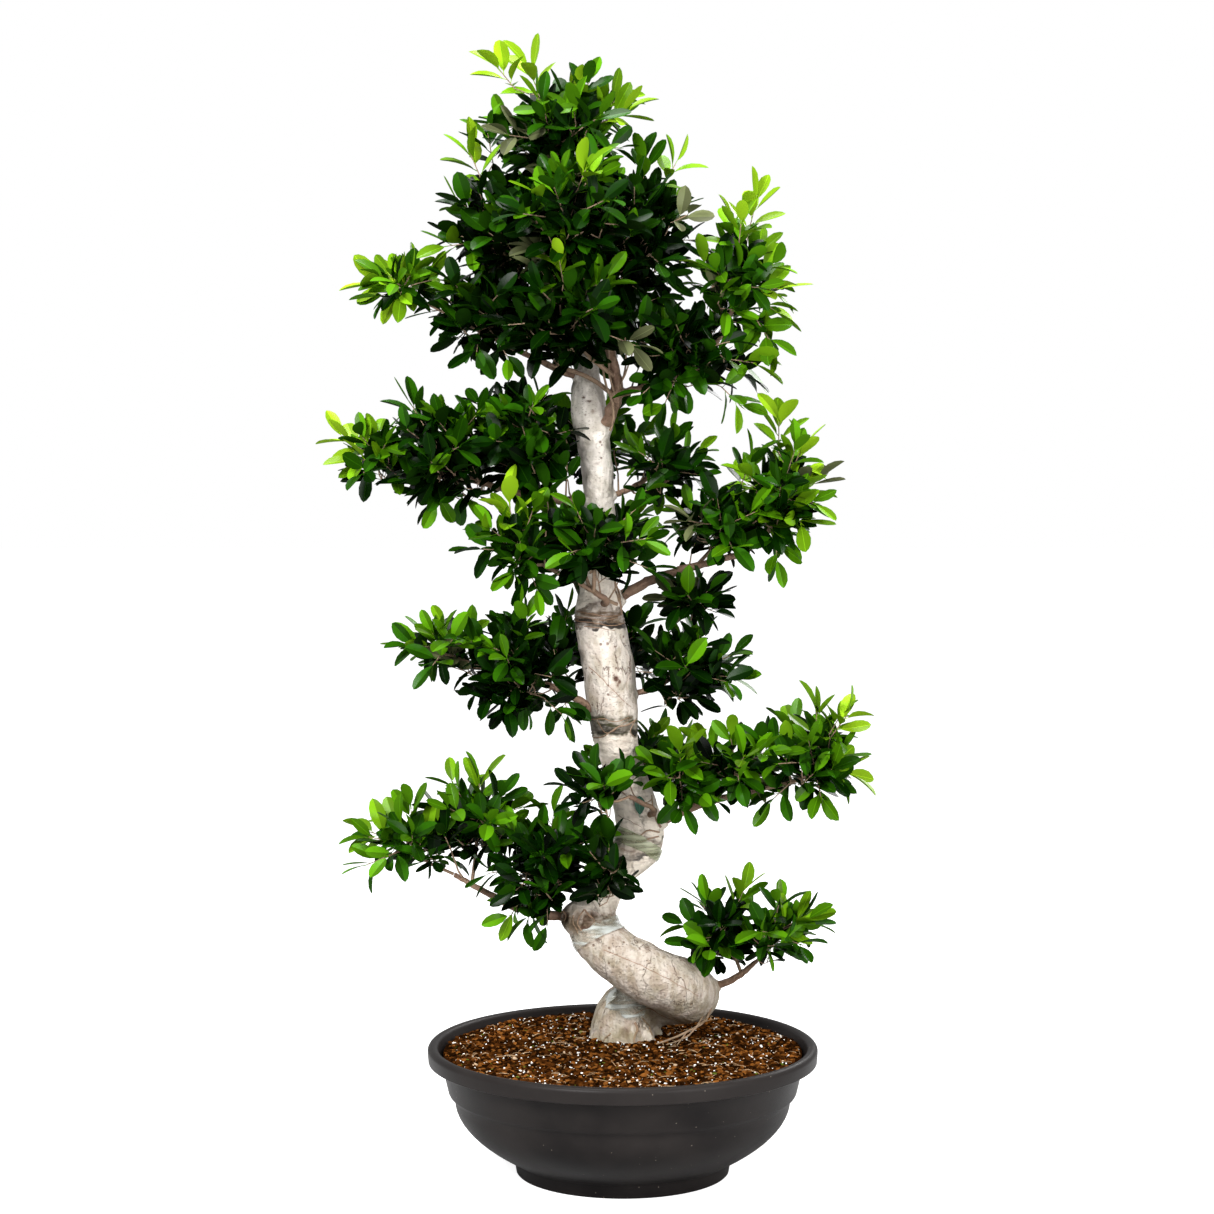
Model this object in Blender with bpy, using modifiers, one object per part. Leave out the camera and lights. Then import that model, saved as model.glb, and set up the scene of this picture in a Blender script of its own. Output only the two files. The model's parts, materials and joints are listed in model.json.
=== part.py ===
"""Spiral ficus topiary: an S-shaped trunk with tiers of foliage, in a round bowl pot.

Metres, +Z up, +X to the right and -Y towards the front. The origin is the middle of the
pot's flat underside. Run with: blender --background --python part.py
"""

import math
import random
from dataclasses import dataclass

import bmesh
import bpy
from mathutils import Matrix, Vector
from mathutils.bvhtree import BVHTree

# Pot and soil
POT_HEIGHT = 0.200
POT_RADIUS = 0.300
LIP_HEIGHT = 0.026
LIP_INNER_RADIUS = 0.283
WALL_TOP_RADIUS = 0.279
LIP_STRAIGHT = 0.014
LIP_DRAFT = 0.0015
LIP_BEND_DEGREES = (180, 130, 90, 50, 15)
LEDGE_TOP = (0.268, 0.1275)
LEDGE_FOOT = (0.258, 0.116)
FOOT_RADIUS = 0.168
FOOT_HEIGHT = 0.021
FOOT_TAPER = 0.005
POT_WALL = 0.004
POT_FLOOR = 0.006
BOWL_RINGS = 4
SOIL_TOP = 0.190
GROUND_BLOCK = 1.0
ROUND_STEPS = 36

# Edges that turn by more than this stay sharp, in degrees
SHARP_DEGREES = 35
SHARP_TRUNK_DEGREES = 50
SHARP_BOUGH_DEGREES = 60

# Gaps between neighbours
TOUCH_GAP = 0.00035
BOUGH_GAP = 0.00045
WRAP_GAP = 0.0007
LIMB_CLEARANCE = 0.0006
MASS_CLEARANCE = 0.0016

# Roundness of tubes: a tube has four sides and two more for each step
TRUNK_ROUNDING = 3
BOUGH_ROUNDING = 1
STEM_ROUNDING = 0
TRUNK_SPAN_STEPS = 2
BOUGH_SPAN_STEPS = 3

# Leaves: width and thickness as shares of the length, and how they sit in their spray
LEAF_WIDTH = 0.62
LEAF_THICKNESS = 0.030
LEAF_WIDEST = 0.58
LEAF_SUNK = 0.006
LEAF_CLEAR_FROM = 0.34
LEAF_SHARE_OF_ROOM = 0.985
LEAF_LEAST_SHARE = 0.5
LEAF_SIZES_TRIED = (1.0, 0.88, 0.76)
LEAF_ROLL = 0.9
LEAF_FACES_ALONG = 0.2
LEAF_FLAT_LIMIT = 0.9
SPRAY_LEAVES = 3
SPRAY_TRIES = 6
SPRAY_LEAN = (48, 72)
SPRAY_SIZES = (0.80, 0.98)
SPRAY_SPACING = 0.09
SPRAY_SWAY = 0.4
GOLDEN_DEGREES = 137.5

# Twigs and stems
TWIG_SIDES = 3
TWIG_ROOT_RADIUS = 0.0032
TWIG_TIP_RADIUS = 0.0026
TWIG_LEAST = 0.012
TWIG_SUNK = 0.002
FORK_LEAN = 48
FORK_AT = 0.5
FORK_FROM_SPAN = 0.03
FORK_LEAST = 0.02
FORK_LEAF_SHARE = 0.9
STEM_RADIUS = 0.0042
STEM_LEAD = 0.006
STEM_BOW = 0.10
STEM_BEND_TAPER = 0.9

# The middle of a mass: shares of its room for open, usual and dense foliage
CORE_OPEN = 0.62
CORE_TIER = 0.76
CORE_CROWN = 0.84
CORE_SHRINKS = (1.0, 0.85, 0.7, 0.55, 0.4, 0.3)
CORE_LIMB_GAP = 0.004
CORE_LEAST = 0.006
CORE_LIMB_SIDE = -0.1
HUB_CLEARANCE = 0.040
HUB_SHARE_OF_ROOM = 0.5
HUB_STEPS = 6
HUB_STEP_EXTRA = 0.002
GROWTH_SEED = 41
GROWTH_ATTEMPTS = 5
MASS_TRIANGLES = 640


@dataclass(frozen=True)
class Station:
    """One place on the trunk's middle line, with the trunk's radius there."""

    name: str
    x: float
    y: float
    z: float
    radius: float


@dataclass(frozen=True)
class Bough:
    """A tapering limb: it leaves its parent at a height, passes its bends and ends at its tip."""

    name: str
    parent: str
    height: float
    bends: tuple
    tip: tuple
    root_radius: float
    tip_radius: float


@dataclass(frozen=True)
class Mass:
    """A mass of foliage.

    Its stem leaves a limb: the trunk at a height, or a bough at a share of its length.
    The mass fills an ellipsoid and has a number of twigs, leaves of one length and a core.
    Where it reaches a tip of the tree, one twig points there.
    """

    name: str
    limb: str
    along: float
    centre: tuple
    half: tuple
    twigs: int
    leaf: float
    core: float
    points_to: tuple = ()


ELBOW = Station("elbow", 0.110, 0.070, 0.262, 0.0445)
TRUNK_FOOT = [
    Station("foot", 0.000, 0.085, 0.175, 0.053),
    Station("stub", 0.000, 0.090, 0.214, 0.048),
    Station("neck", 0.024, 0.108, 0.236, 0.046),
    Station("back", 0.062, 0.113, 0.246, 0.045),
    ELBOW,
]
TRUNK_RISE = [
    ELBOW,
    Station("turn", 0.094, 0.032, 0.284, 0.0450),
    Station("ramp", 0.040, 0.008, 0.318, 0.0445),
    Station("low wrap", -0.028, 0.010, 0.364, 0.0395),
    Station("burl", -0.038, 0.026, 0.398, 0.0370),
    Station("bend", -0.026, 0.045, 0.428, 0.0340),
    Station("slope", -0.002, 0.062, 0.460, 0.0315),
    Station("mid wrap", 0.026, 0.075, 0.498, 0.0390),
    Station("hip", 0.023, 0.075, 0.546, 0.0355),
    Station("waist", 0.004, 0.065, 0.619, 0.0310),
    Station("moss band", -0.011, 0.055, 0.675, 0.0360),
    Station("belly", -0.020, 0.050, 0.765, 0.0405),
    Station("old wrap", -0.037, 0.045, 0.860, 0.0385),
    Station("shoulder", -0.040, 0.045, 0.905, 0.0310),
    Station("mid", -0.037, 0.045, 1.060, 0.0235),
    Station("graft", -0.054, 0.045, 1.190, 0.0275),
    Station("thin", -0.052, 0.045, 1.250, 0.0165),
    Station("tip", -0.044, 0.045, 1.320, 0.0100),
]
BURL_CENTRE = (-0.060, 0.004, 0.396)
BURL_RADIUS = 0.030
ELBOW_SWELL = 0.0005

# Surface roots: bearing in degrees from +X towards +Y, reach from the foot's middle, radius
SURFACE_ROOTS = [
    (-152, 0.063, 0.012),
    (-112, 0.060, 0.011),
    (-72, 0.064, 0.013),
    (-35, 0.068, 0.011),
    (15, 0.070, 0.014),
    (75, 0.062, 0.013),
    (140, 0.066, 0.014),
]
ROOT_START_HEIGHT = 0.034
# Along a root: share of its reach, share of its starting height, share of its radius
ROOT_STEPS = ((0.30, 1.0, 1.0), (0.62, 0.62, 0.95), (0.86, 0.28, 0.8), (1.0, -0.15, 0.6))
AERIAL_ROOT = [(0.140, 0.052, 0.248), (0.112, 0.040, 0.212), (0.052, 0.032, 0.186)]
AERIAL_ROOT_RADIUS = 0.0045

# Plastic wraps round the trunk: name, trunk height at the middle, length
WRAPS = [
    ("wrap_low", 0.366, 0.026),
    ("wrap_mid", 0.499, 0.022),
]
WRAP_THICKNESS = 0.0022
WRAP_BULGE = 0.0010

BOUGHS = [
    Bough("bough_low_right", "trunk", 0.262,
          ((0.176, 0.056, 0.290),), (0.212, 0.045, 0.320), 0.0100, 0.0050),
    Bough("bough_low_left", "trunk", 0.394,
          ((-0.150, 0.000, 0.406),), (-0.262, 0.000, 0.464), 0.0120, 0.0052),
    Bough("bough_second_right", "trunk", 0.520,
          ((0.105, 0.050, 0.560),), (0.212, 0.028, 0.592), 0.0125, 0.0055),
    Bough("bough_second_front", "trunk", 0.540,
          ((0.050, 0.022, 0.560),), (0.010, -0.008, 0.586), 0.0070, 0.0050),
    Bough("bough_third_left", "trunk", 0.690,
          ((-0.090, 0.026, 0.745),), (-0.200, 0.000, 0.786), 0.0095, 0.0050),
    Bough("bough_third_right", "trunk", 0.732,
          ((0.045, 0.052, 0.748),), (0.078, 0.052, 0.766), 0.0070, 0.0050),
    Bough("bough_fourth_right", "trunk", 0.872,
          ((0.058, 0.030, 0.924),), (0.190, 0.020, 0.962), 0.0130, 0.0060),
    Bough("bough_fourth_front", "trunk", 0.880,
          ((-0.028, -0.024, 0.894),), (-0.122, -0.046, 0.946), 0.0085, 0.0050),
    Bough("bough_fifth_left", "trunk", 1.040,
          ((-0.140, 0.015, 1.050),), (-0.305, 0.000, 1.098), 0.0105, 0.0050),
    Bough("bough_fifth_right", "trunk", 1.045,
          ((0.005, 0.050, 1.058),), (0.040, 0.050, 1.078), 0.0070, 0.0050),
    Bough("leader", "trunk", 1.132,
          ((-0.010, 0.014, 1.200), (-0.022, 0.008, 1.280), (-0.070, 0.000, 1.410)),
          (-0.086, 0.000, 1.530), 0.0140, 0.0070),
    Bough("bough_crown_right", "leader", 1.206,
          ((0.050, 0.008, 1.226),), (0.148, 0.000, 1.290), 0.0090, 0.0050),
    Bough("bough_crown_left", "trunk", 1.232,
          ((-0.112, 0.020, 1.250),), (-0.225, 0.000, 1.306), 0.0085, 0.0050),
]

MASSES = [
    Mass("foliage_low_right_outer", "bough_low_right", 1.0,
         (0.262, 0.030, 0.383), (0.090, 0.095, 0.074), 6, 0.097, CORE_TIER, (0.90, 0.0, 0.35)),
    Mass("foliage_low_right_inner", "bough_low_right", 0.62,
         (0.156, 0.058, 0.376), (0.080, 0.088, 0.080), 4, 0.088, CORE_TIER),
    Mass("foliage_low_left_tip", "bough_low_left", 1.0,
         (-0.338, 0.000, 0.518), (0.096, 0.095, 0.074), 6, 0.095, CORE_TIER, (-1.0, 0.0, -0.45)),
    Mass("foliage_low_left_top", "bough_low_left", 0.84,
         (-0.228, 0.012, 0.556), (0.086, 0.105, 0.092), 6, 0.097, CORE_TIER, (0.05, 0.0, 1.0)),
    Mass("foliage_low_left_inner", "bough_low_left", 0.45,
         (-0.118, 0.000, 0.492), (0.086, 0.105, 0.086), 6, 0.097, CORE_TIER),
    Mass("foliage_low_front", "trunk", 0.436,
         (-0.020, -0.042, 0.480), (0.056, 0.062, 0.080), 4, 0.088, CORE_OPEN),
    Mass("foliage_second_right_tip", "bough_second_right", 1.0,
         (0.302, 0.020, 0.655), (0.096, 0.090, 0.096), 6, 0.097, CORE_TIER, (0.95, 0.0, -0.25)),
    Mass("foliage_second_right_mid", "bough_second_right", 0.76,
         (0.178, 0.030, 0.636), (0.076, 0.098, 0.066), 5, 0.095, CORE_TIER),
    Mass("foliage_second_right_inner", "bough_second_right", 0.42,
         (0.090, 0.040, 0.644), (0.056, 0.085, 0.056), 4, 0.088, CORE_TIER),
    Mass("foliage_second_front", "bough_second_front", 1.0,
         (-0.036, -0.040, 0.614), (0.078, 0.060, 0.050), 5, 0.088, CORE_TIER, (-1.0, 0.0, 0.05)),
    Mass("foliage_second_back", "trunk", 0.600,
         (0.020, 0.185, 0.636), (0.095, 0.090, 0.056), 5, 0.097, CORE_TIER),
    Mass("foliage_third_left_tip", "bough_third_left", 1.0,
         (-0.286, 0.000, 0.822), (0.080, 0.085, 0.056), 5, 0.090, CORE_TIER, (-1.0, 0.0, 0.15)),
    Mass("foliage_third_left_mid", "bough_third_left", 0.70,
         (-0.176, 0.000, 0.796), (0.082, 0.105, 0.096), 6, 0.097, CORE_TIER),
    Mass("foliage_third_left_inner", "bough_third_left", 0.38,
         (-0.104, 0.060, 0.812), (0.048, 0.085, 0.070), 4, 0.088, CORE_TIER),
    Mass("foliage_third_right", "bough_third_right", 1.0,
         (0.122, 0.055, 0.795), (0.106, 0.105, 0.090), 7, 0.100, CORE_TIER, (1.0, 0.0, -0.05)),
    Mass("foliage_third_back", "trunk", 0.780,
         (-0.020, 0.178, 0.806), (0.088, 0.085, 0.060), 5, 0.095, CORE_TIER),
    Mass("foliage_fourth_right_tip", "bough_fourth_right", 1.0,
         (0.264, 0.018, 1.058), (0.072, 0.088, 0.118), 7, 0.097, CORE_TIER, (0.8, 0.0, 0.3)),
    Mass("foliage_fourth_right_mid", "bough_fourth_right", 0.70,
         (0.154, 0.020, 1.000), (0.076, 0.100, 0.070), 5, 0.095, CORE_TIER),
    Mass("foliage_fourth_right_low", "bough_fourth_right", 0.48,
         (0.118, 0.000, 0.888), (0.060, 0.080, 0.050), 4, 0.085, CORE_OPEN),
    Mass("foliage_fourth_front", "bough_fourth_front", 0.62,
         (-0.045, -0.080, 0.985), (0.110, 0.074, 0.066), 7, 0.095, CORE_TIER),
    Mass("foliage_fourth_front_left", "bough_fourth_front", 1.0,
         (-0.172, -0.048, 0.990), (0.070, 0.072, 0.080), 4, 0.090, CORE_OPEN, (-0.9, 0.0, -0.3)),
    Mass("foliage_fourth_back", "trunk", 0.960,
         (-0.040, 0.160, 0.985), (0.095, 0.088, 0.058), 5, 0.097, CORE_TIER),
    Mass("foliage_fifth_left_tip", "bough_fifth_left", 1.0,
         (-0.384, 0.000, 1.122), (0.086, 0.088, 0.072), 6, 0.095, CORE_TIER, (-1.0, 0.0, 0.30)),
    Mass("foliage_fifth_left_mid", "bough_fifth_left", 0.76,
         (-0.284, 0.000, 1.126), (0.088, 0.110, 0.102), 7, 0.100, CORE_TIER),
    Mass("foliage_fifth_left_inner", "bough_fifth_left", 0.42,
         (-0.162, 0.006, 1.134), (0.090, 0.120, 0.094), 7, 0.100, CORE_TIER),
    Mass("foliage_fifth_right", "bough_fifth_right", 1.0,
         (0.072, 0.048, 1.126), (0.068, 0.090, 0.080), 5, 0.095, CORE_TIER),
    Mass("foliage_fifth_back", "trunk", 1.110,
         (-0.045, 0.160, 1.140), (0.090, 0.085, 0.060), 5, 0.095, CORE_TIER),
    Mass("crown_left_tip", "bough_crown_left", 1.0,
         (-0.338, 0.000, 1.368), (0.078, 0.075, 0.048), 4, 0.088, CORE_OPEN, (-1.0, 0.0, 0.35)),
    Mass("crown_left_wing", "bough_crown_left", 0.72,
         (-0.238, 0.000, 1.332), (0.080, 0.100, 0.082), 6, 0.095, CORE_TIER),
    Mass("crown_low_front", "leader", 0.36,
         (-0.080, -0.090, 1.325), (0.112, 0.088, 0.088), 7, 0.100, CORE_CROWN),
    Mass("crown_low_back", "trunk", 1.285,
         (-0.060, 0.142, 1.335), (0.118, 0.092, 0.086), 7, 0.100, CORE_CROWN),
    Mass("crown_left", "leader", 0.66,
         (-0.190, -0.005, 1.462), (0.098, 0.125, 0.118), 7, 0.100, CORE_CROWN),
    Mass("crown_right", "leader", 0.66,
         (0.022, -0.005, 1.450), (0.100, 0.125, 0.126), 7, 0.100, CORE_CROWN),
    Mass("crown_front", "leader", 0.74,
         (-0.085, -0.135, 1.470), (0.094, 0.088, 0.096), 6, 0.100, CORE_CROWN),
    Mass("crown_back", "leader", 0.74,
         (-0.085, 0.132, 1.475), (0.094, 0.088, 0.096), 6, 0.100, CORE_CROWN),
    Mass("crown_top", "leader", 1.0,
         (-0.090, 0.000, 1.618), (0.138, 0.134, 0.132), 9, 0.100, CORE_CROWN, (-0.42, 0.0, 0.98)),
    Mass("crown_right_wing", "bough_crown_right", 0.66,
         (0.112, 0.000, 1.292), (0.098, 0.108, 0.082), 6, 0.097, CORE_TIER),
    Mass("crown_right_tip", "bough_crown_right", 1.0,
         (0.200, 0.000, 1.398), (0.078, 0.088, 0.136), 7, 0.097, CORE_TIER, (1.0, 0.0, -0.05)),
]


@dataclass(frozen=True)
class Limb:
    """A limb as built: its middle line, its solid, and a cutter a little larger than it."""

    line: list
    solid: bpy.types.Object
    cutter: bpy.types.Object


def clear_scene():
    """Take out every object that the file opened with."""
    for thing in list(bpy.data.objects):
        bpy.data.objects.remove(thing, do_unlink=True)


def new_collection(name):
    """A collection of this name under the scene's own."""
    collection = bpy.data.collections.new(name)
    bpy.context.scene.collection.children.link(collection)
    return collection


def finish(name, colour, roughness):
    """A Principled material with the part's colour and roughness."""
    made = bpy.data.materials.new(name)
    made.use_nodes = True
    shader = made.node_tree.nodes["Principled BSDF"]
    shader.inputs["Base Color"].default_value = (*colour, 1.0)
    shader.inputs["Roughness"].default_value = roughness
    shader.inputs["Metallic"].default_value = 0.0
    return made


def add_object(name, mesh, collection, material=None):
    """A new object that shows the mesh."""
    made = bpy.data.objects.new(name, mesh)
    collection.objects.link(made)
    if material is not None:
        mesh.materials.clear()
        mesh.materials.append(material)
    return made


def as_cutter(made):
    """Keep a helper out of renders and draw it as wire."""
    made.hide_render = True
    made.display_type = "WIRE"
    return made


def applied_mesh(thing):
    """The object's mesh with its modifiers worked in."""
    bpy.context.view_layer.update()
    graph = bpy.context.evaluated_depsgraph_get()
    return bpy.data.meshes.new_from_object(thing.evaluated_get(graph))


def boolean(target, other, operation, solver="EXACT"):
    """Join or cut the target with an object or with all of a collection, and apply it."""
    change = target.modifiers.new(operation.title(), "BOOLEAN")
    change.operation = operation
    change.solver = solver
    if isinstance(other, bpy.types.Collection):
        change.operand_type = "COLLECTION"
        change.collection = other
    else:
        change.object = other
    mesh = applied_mesh(target)
    target.modifiers.clear()
    target.data = mesh


def shade_round(thing, degrees=SHARP_DEGREES):
    """Smooth shading with edges kept where the surface turns sharply."""
    thing.data.shade_smooth()
    thing.data.set_sharp_from_angle(angle=math.radians(degrees))


def smooth_line(knots, steps):
    """Points on a smooth line through the knots, with some steps to each span."""
    ends = [knots[0], *knots, knots[-1]]
    line = []
    for before, start, stop, after in zip(ends, ends[1:], ends[2:], ends[3:]):
        for step in range(steps):
            t = step / steps
            flat = 2 * start
            slope = (stop - before) * t
            curve = (2 * before - 5 * start + 4 * stop - after) * t**2
            twist = (3 * start - before - 3 * stop + after) * t**3
            line.append(0.5 * (flat + slope + curve + twist))
    line.append(knots[-1])
    return line


def tube_mesh(name, line, rounding, extra=0.0):
    """A closed tube round a line of (x, y, z, radius), made as a curve and turned into a mesh."""
    curve = bpy.data.curves.new(name, "CURVE")
    curve.dimensions = "3D"
    curve.bevel_depth = 1.0
    curve.bevel_resolution = rounding
    curve.use_fill_caps = True
    spline = curve.splines.new("POLY")
    spline.points.add(len(line) - 1)
    for point, knot in zip(spline.points, line):
        point.co = (*knot[:3], 1.0)
        point.radius = knot[3] + extra
    guide = bpy.data.objects.new(name, curve)
    bpy.context.scene.collection.objects.link(guide)
    mesh = applied_mesh(guide)
    bpy.data.objects.remove(guide)
    bpy.data.curves.remove(curve)
    shape = bmesh.new()
    shape.from_mesh(mesh)
    bmesh.ops.remove_doubles(shape, verts=shape.verts, dist=0.00001)
    bmesh.ops.recalc_face_normals(shape, faces=shape.faces)
    shape.to_mesh(mesh)
    shape.free()
    return mesh


def sphere_mesh(name, centre, radius, segments=12):
    """A round lump."""
    shape = bmesh.new()
    place = Matrix.Translation(centre)
    bmesh.ops.create_uvsphere(
        shape,
        u_segments=segments,
        v_segments=segments // 2,
        radius=radius,
        matrix=place,
    )
    mesh = bpy.data.meshes.new(name)
    shape.to_mesh(mesh)
    shape.free()
    return mesh


def turned(name, profile, collection, material):
    """A profile of (radius, height) turned round the Z axis by a Screw modifier."""
    mesh = bpy.data.meshes.new(name)
    edges = [(i, i + 1) for i in range(len(profile) - 1)]
    mesh.from_pydata([(radius, 0.0, height) for radius, height in profile], edges, [])
    made = add_object(name, mesh, collection, material)
    screw = made.modifiers.new("Turn", "SCREW")
    screw.steps = ROUND_STEPS
    screw.render_steps = ROUND_STEPS
    screw.use_merge_vertices = True
    screw.merge_threshold = 0.00001
    screw.use_normal_calculate = False
    made.data = applied_mesh(made)
    made.modifiers.clear()
    shade_round(made)
    return made


def bowl_radius(height):
    """Outer radius of the bowl below its ledge, drawn in on a parabola to the foot."""
    ledge_radius, ledge_height = LEDGE_FOOT
    drop = (ledge_height - height) / (ledge_height - FOOT_HEIGHT)
    return ledge_radius - (ledge_radius - FOOT_RADIUS) * drop**2


def inner_radius(height):
    """Inner radius of the pot at a height above its floor."""
    ledge_radius, ledge_height = LEDGE_FOOT
    if height <= FOOT_HEIGHT:
        return FOOT_RADIUS - POT_WALL
    if height <= ledge_height:
        return bowl_radius(height) - POT_WALL
    share = (height - ledge_height) / (POT_HEIGHT - LIP_HEIGHT - ledge_height)
    top = WALL_TOP_RADIUS - POT_WALL
    return ledge_radius - POT_WALL + (top - ledge_radius + POT_WALL) * min(share, 1.0)


def bowl_heights():
    """Heights of the rings of the bowl, from its ledge down to its foot."""
    ledge_height = LEDGE_FOOT[1]
    drop = ledge_height - FOOT_HEIGHT
    return [ledge_height - drop * number / BOWL_RINGS for number in range(BOWL_RINGS + 1)]


def inner_heights():
    """Heights at which the inside of the pot has a ring, from the floor up."""
    return [POT_FLOOR, *reversed(bowl_heights()), POT_HEIGHT - LIP_HEIGHT]


def lip_profile():
    """The rolled lip, over the top and down its outer side to its underside."""
    roll = (POT_RADIUS - LIP_INNER_RADIUS) / 2
    middle = LIP_INNER_RADIUS + roll
    points = []
    for degrees in LIP_BEND_DEGREES:
        turn = math.radians(degrees)
        points.append((middle + roll * math.cos(turn), POT_HEIGHT - roll + roll * math.sin(turn)))
    points.append((POT_RADIUS, POT_HEIGHT - LIP_STRAIGHT))
    points.append((POT_RADIUS - LIP_DRAFT, POT_HEIGHT - LIP_HEIGHT))
    points.append((WALL_TOP_RADIUS, POT_HEIGHT - LIP_HEIGHT))
    return points


def build_pot(collection, material):
    """The bowl pot: inside up from the floor, over the lip, down the outside to a flat base."""
    inside = [(inner_radius(height), height) for height in inner_heights()]
    bowl = [(bowl_radius(height), height) for height in bowl_heights()]
    foot = [(FOOT_RADIUS - FOOT_TAPER, 0.0), (0.0, 0.0)]
    profile = [(0.0, POT_FLOOR), *inside, *lip_profile(), LEDGE_TOP, *bowl, *foot]
    return turned("pot", profile, collection, material)


def build_soil(collection, material):
    """The potting mix, which fills the pot to just under the lip."""
    gap = TOUCH_GAP
    side = [(inner_radius(height) - gap, height) for height in reversed(inner_heights())]
    side[-1] = (side[-1][0], POT_FLOOR + gap)
    top_radius = inner_radius(SOIL_TOP) - gap
    profile = [(0.0, SOIL_TOP), (top_radius, SOIL_TOP), *side, (0.0, POT_FLOOR + gap)]
    return turned("soil", profile, collection, material)


def knots_of(stations):
    """The stations as vectors of x, y, z and radius."""
    return [Vector((s.x, s.y, s.z, s.radius)) for s in stations]


def trunk_lines():
    """The trunk's two middle lines: from the foot to the elbow, and on from there to its tip."""
    foot = smooth_line(knots_of(TRUNK_FOOT), TRUNK_SPAN_STEPS)
    rise = smooth_line(knots_of(TRUNK_RISE), TRUNK_SPAN_STEPS)
    return foot, rise


def root_line(bearing, reach, radius):
    """One surface root, from inside the foot out and down into the soil."""
    foot = TRUNK_FOOT[0]
    turn = math.radians(bearing)
    out = Vector((math.cos(turn), math.sin(turn), 0.0))
    middle = Vector((foot.x, foot.y, SOIL_TOP))
    line = []
    for share, lift, thick in ROOT_STEPS:
        place = middle + out * reach * share
        line.append(Vector((place.x, place.y, SOIL_TOP + ROOT_START_HEIGHT * lift, radius * thick)))
    return line


def aerial_root_line():
    """The thin root that hangs from the elbow and slants down into the soil."""
    knots = [Vector((*point, AERIAL_ROOT_RADIUS)) for point in AERIAL_ROOT]
    return smooth_line(knots, BOUGH_SPAN_STEPS)


def joined(name, meshes, collection, material):
    """Closed meshes fused into one body by a single Boolean union."""
    made = add_object(name, meshes[0], collection, material)
    helpers = new_collection(name + "_pieces")
    for number, mesh in enumerate(meshes[1:]):
        add_object(f"{name}_piece_{number}", mesh, helpers)
    boolean(made, helpers, "UNION")
    for helper in list(helpers.objects):
        bpy.data.objects.remove(helper)
    bpy.data.collections.remove(helpers)
    return made


def trunk_meshes(extra=0.0):
    """The trunk's two tubes, its elbow and its burl, grown by a clearance."""
    lower, upper = trunk_lines()
    return [
        tube_mesh("trunk", upper, TRUNK_ROUNDING, extra),
        tube_mesh("trunk_foot", lower, TRUNK_ROUNDING, extra),
        sphere_mesh("elbow", (ELBOW.x, ELBOW.y, ELBOW.z), ELBOW.radius + extra + ELBOW_SWELL),
        sphere_mesh("burl", BURL_CENTRE, BURL_RADIUS + extra),
    ]


def ground_cutter(cutters):
    """A block that takes away all that is below the soil's surface."""
    shape = bmesh.new()
    bmesh.ops.create_cube(shape, size=GROUND_BLOCK)
    mesh = bpy.data.meshes.new("ground_cutter")
    shape.to_mesh(mesh)
    shape.free()
    cutter = as_cutter(add_object("ground_cutter", mesh, cutters))
    cutter.location = (0.0, 0.0, SOIL_TOP + TOUCH_GAP - GROUND_BLOCK / 2)
    return cutter


def build_trunk(collection, cutters, material):
    """The trunk with its roots, cut flat just above the soil."""
    roots = [tube_mesh("root", root_line(*root), BOUGH_ROUNDING) for root in SURFACE_ROOTS]
    aerial = tube_mesh("aerial_root", aerial_root_line(), BOUGH_ROUNDING)
    made = joined("trunk", [*trunk_meshes(), *roots, aerial], collection, material)
    boolean(made, ground_cutter(cutters), "DIFFERENCE")
    keep_main_body(made.data)
    shade_round(made, SHARP_TRUNK_DEGREES)
    return made


def build_wraps(trunk_line, cutters, collection, material):
    """Bands of clear plastic round the trunk, each cut clear of the bark."""
    bark = as_cutter(joined("wrap_clearance", trunk_meshes(WRAP_GAP), cutters, None))
    made = []
    for name, height, length in WRAPS:
        inside = [knot for knot in trunk_line if abs(knot[2] - height) < length]
        middle = point_at_height(trunk_line, height)
        along = (inside[-1] - inside[0]).to_3d().normalized()
        line = []
        for share in (-0.5, 0.0, 0.5):
            place = middle.to_3d() + along * length * share
            radius = middle[3] + WRAP_THICKNESS + WRAP_BULGE * (1 - abs(share))
            line.append(Vector((*place, radius)))
        band = add_object(name, tube_mesh(name, line, TRUNK_ROUNDING), collection, material)
        boolean(band, bark, "DIFFERENCE")
        keep_main_body(band.data)
        shade_round(band)
        made.append(band)
    return made


def point_at_height(line, height):
    """The knot of a line that rises all the way, read off at a height."""
    for start, stop in zip(line, line[1:]):
        if start[2] <= height <= stop[2]:
            share = (height - start[2]) / (stop[2] - start[2])
            return start.lerp(stop, share)
    raise ValueError(f"no point at height {height}")


def bough_line(bough, parent_line):
    """The middle line of a bough with its taper."""
    root = point_at_height(parent_line, bough.height).to_3d()
    stops = [root, *(Vector(bend) for bend in bough.bends), Vector(bough.tip)]
    knots = []
    for number, stop in enumerate(stops):
        share = number / (len(stops) - 1)
        radius = bough.root_radius + (bough.tip_radius - bough.root_radius) * share
        knots.append(Vector((*stop, radius)))
    return smooth_line(knots, BOUGH_SPAN_STEPS)


def tree_of(meshes):
    """A search tree over the faces of some meshes."""
    points = []
    faces = []
    for mesh in meshes:
        first = len(points)
        points.extend(vertex.co.copy() for vertex in mesh.vertices)
        faces.extend([first + index for index in face.vertices] for face in mesh.polygons)
    return BVHTree.FromPolygons(points, faces)


def islands(shape):
    """The connected sets of faces of a bmesh."""
    left = set(shape.faces)
    found = []
    while left:
        edge = [left.pop()]
        island = set(edge)
        while edge:
            face = edge.pop()
            for side in face.edges:
                for other in side.link_faces:
                    if other in left:
                        left.discard(other)
                        island.add(other)
                        edge.append(other)
        found.append(island)
    return found


def island_volume(island):
    """Signed volume that a set of triangles encloses."""
    total = 0.0
    for face in island:
        first, second, third = (vertex.co for vertex in face.verts)
        total += first.dot(second.cross(third))
    return total / 6


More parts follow.
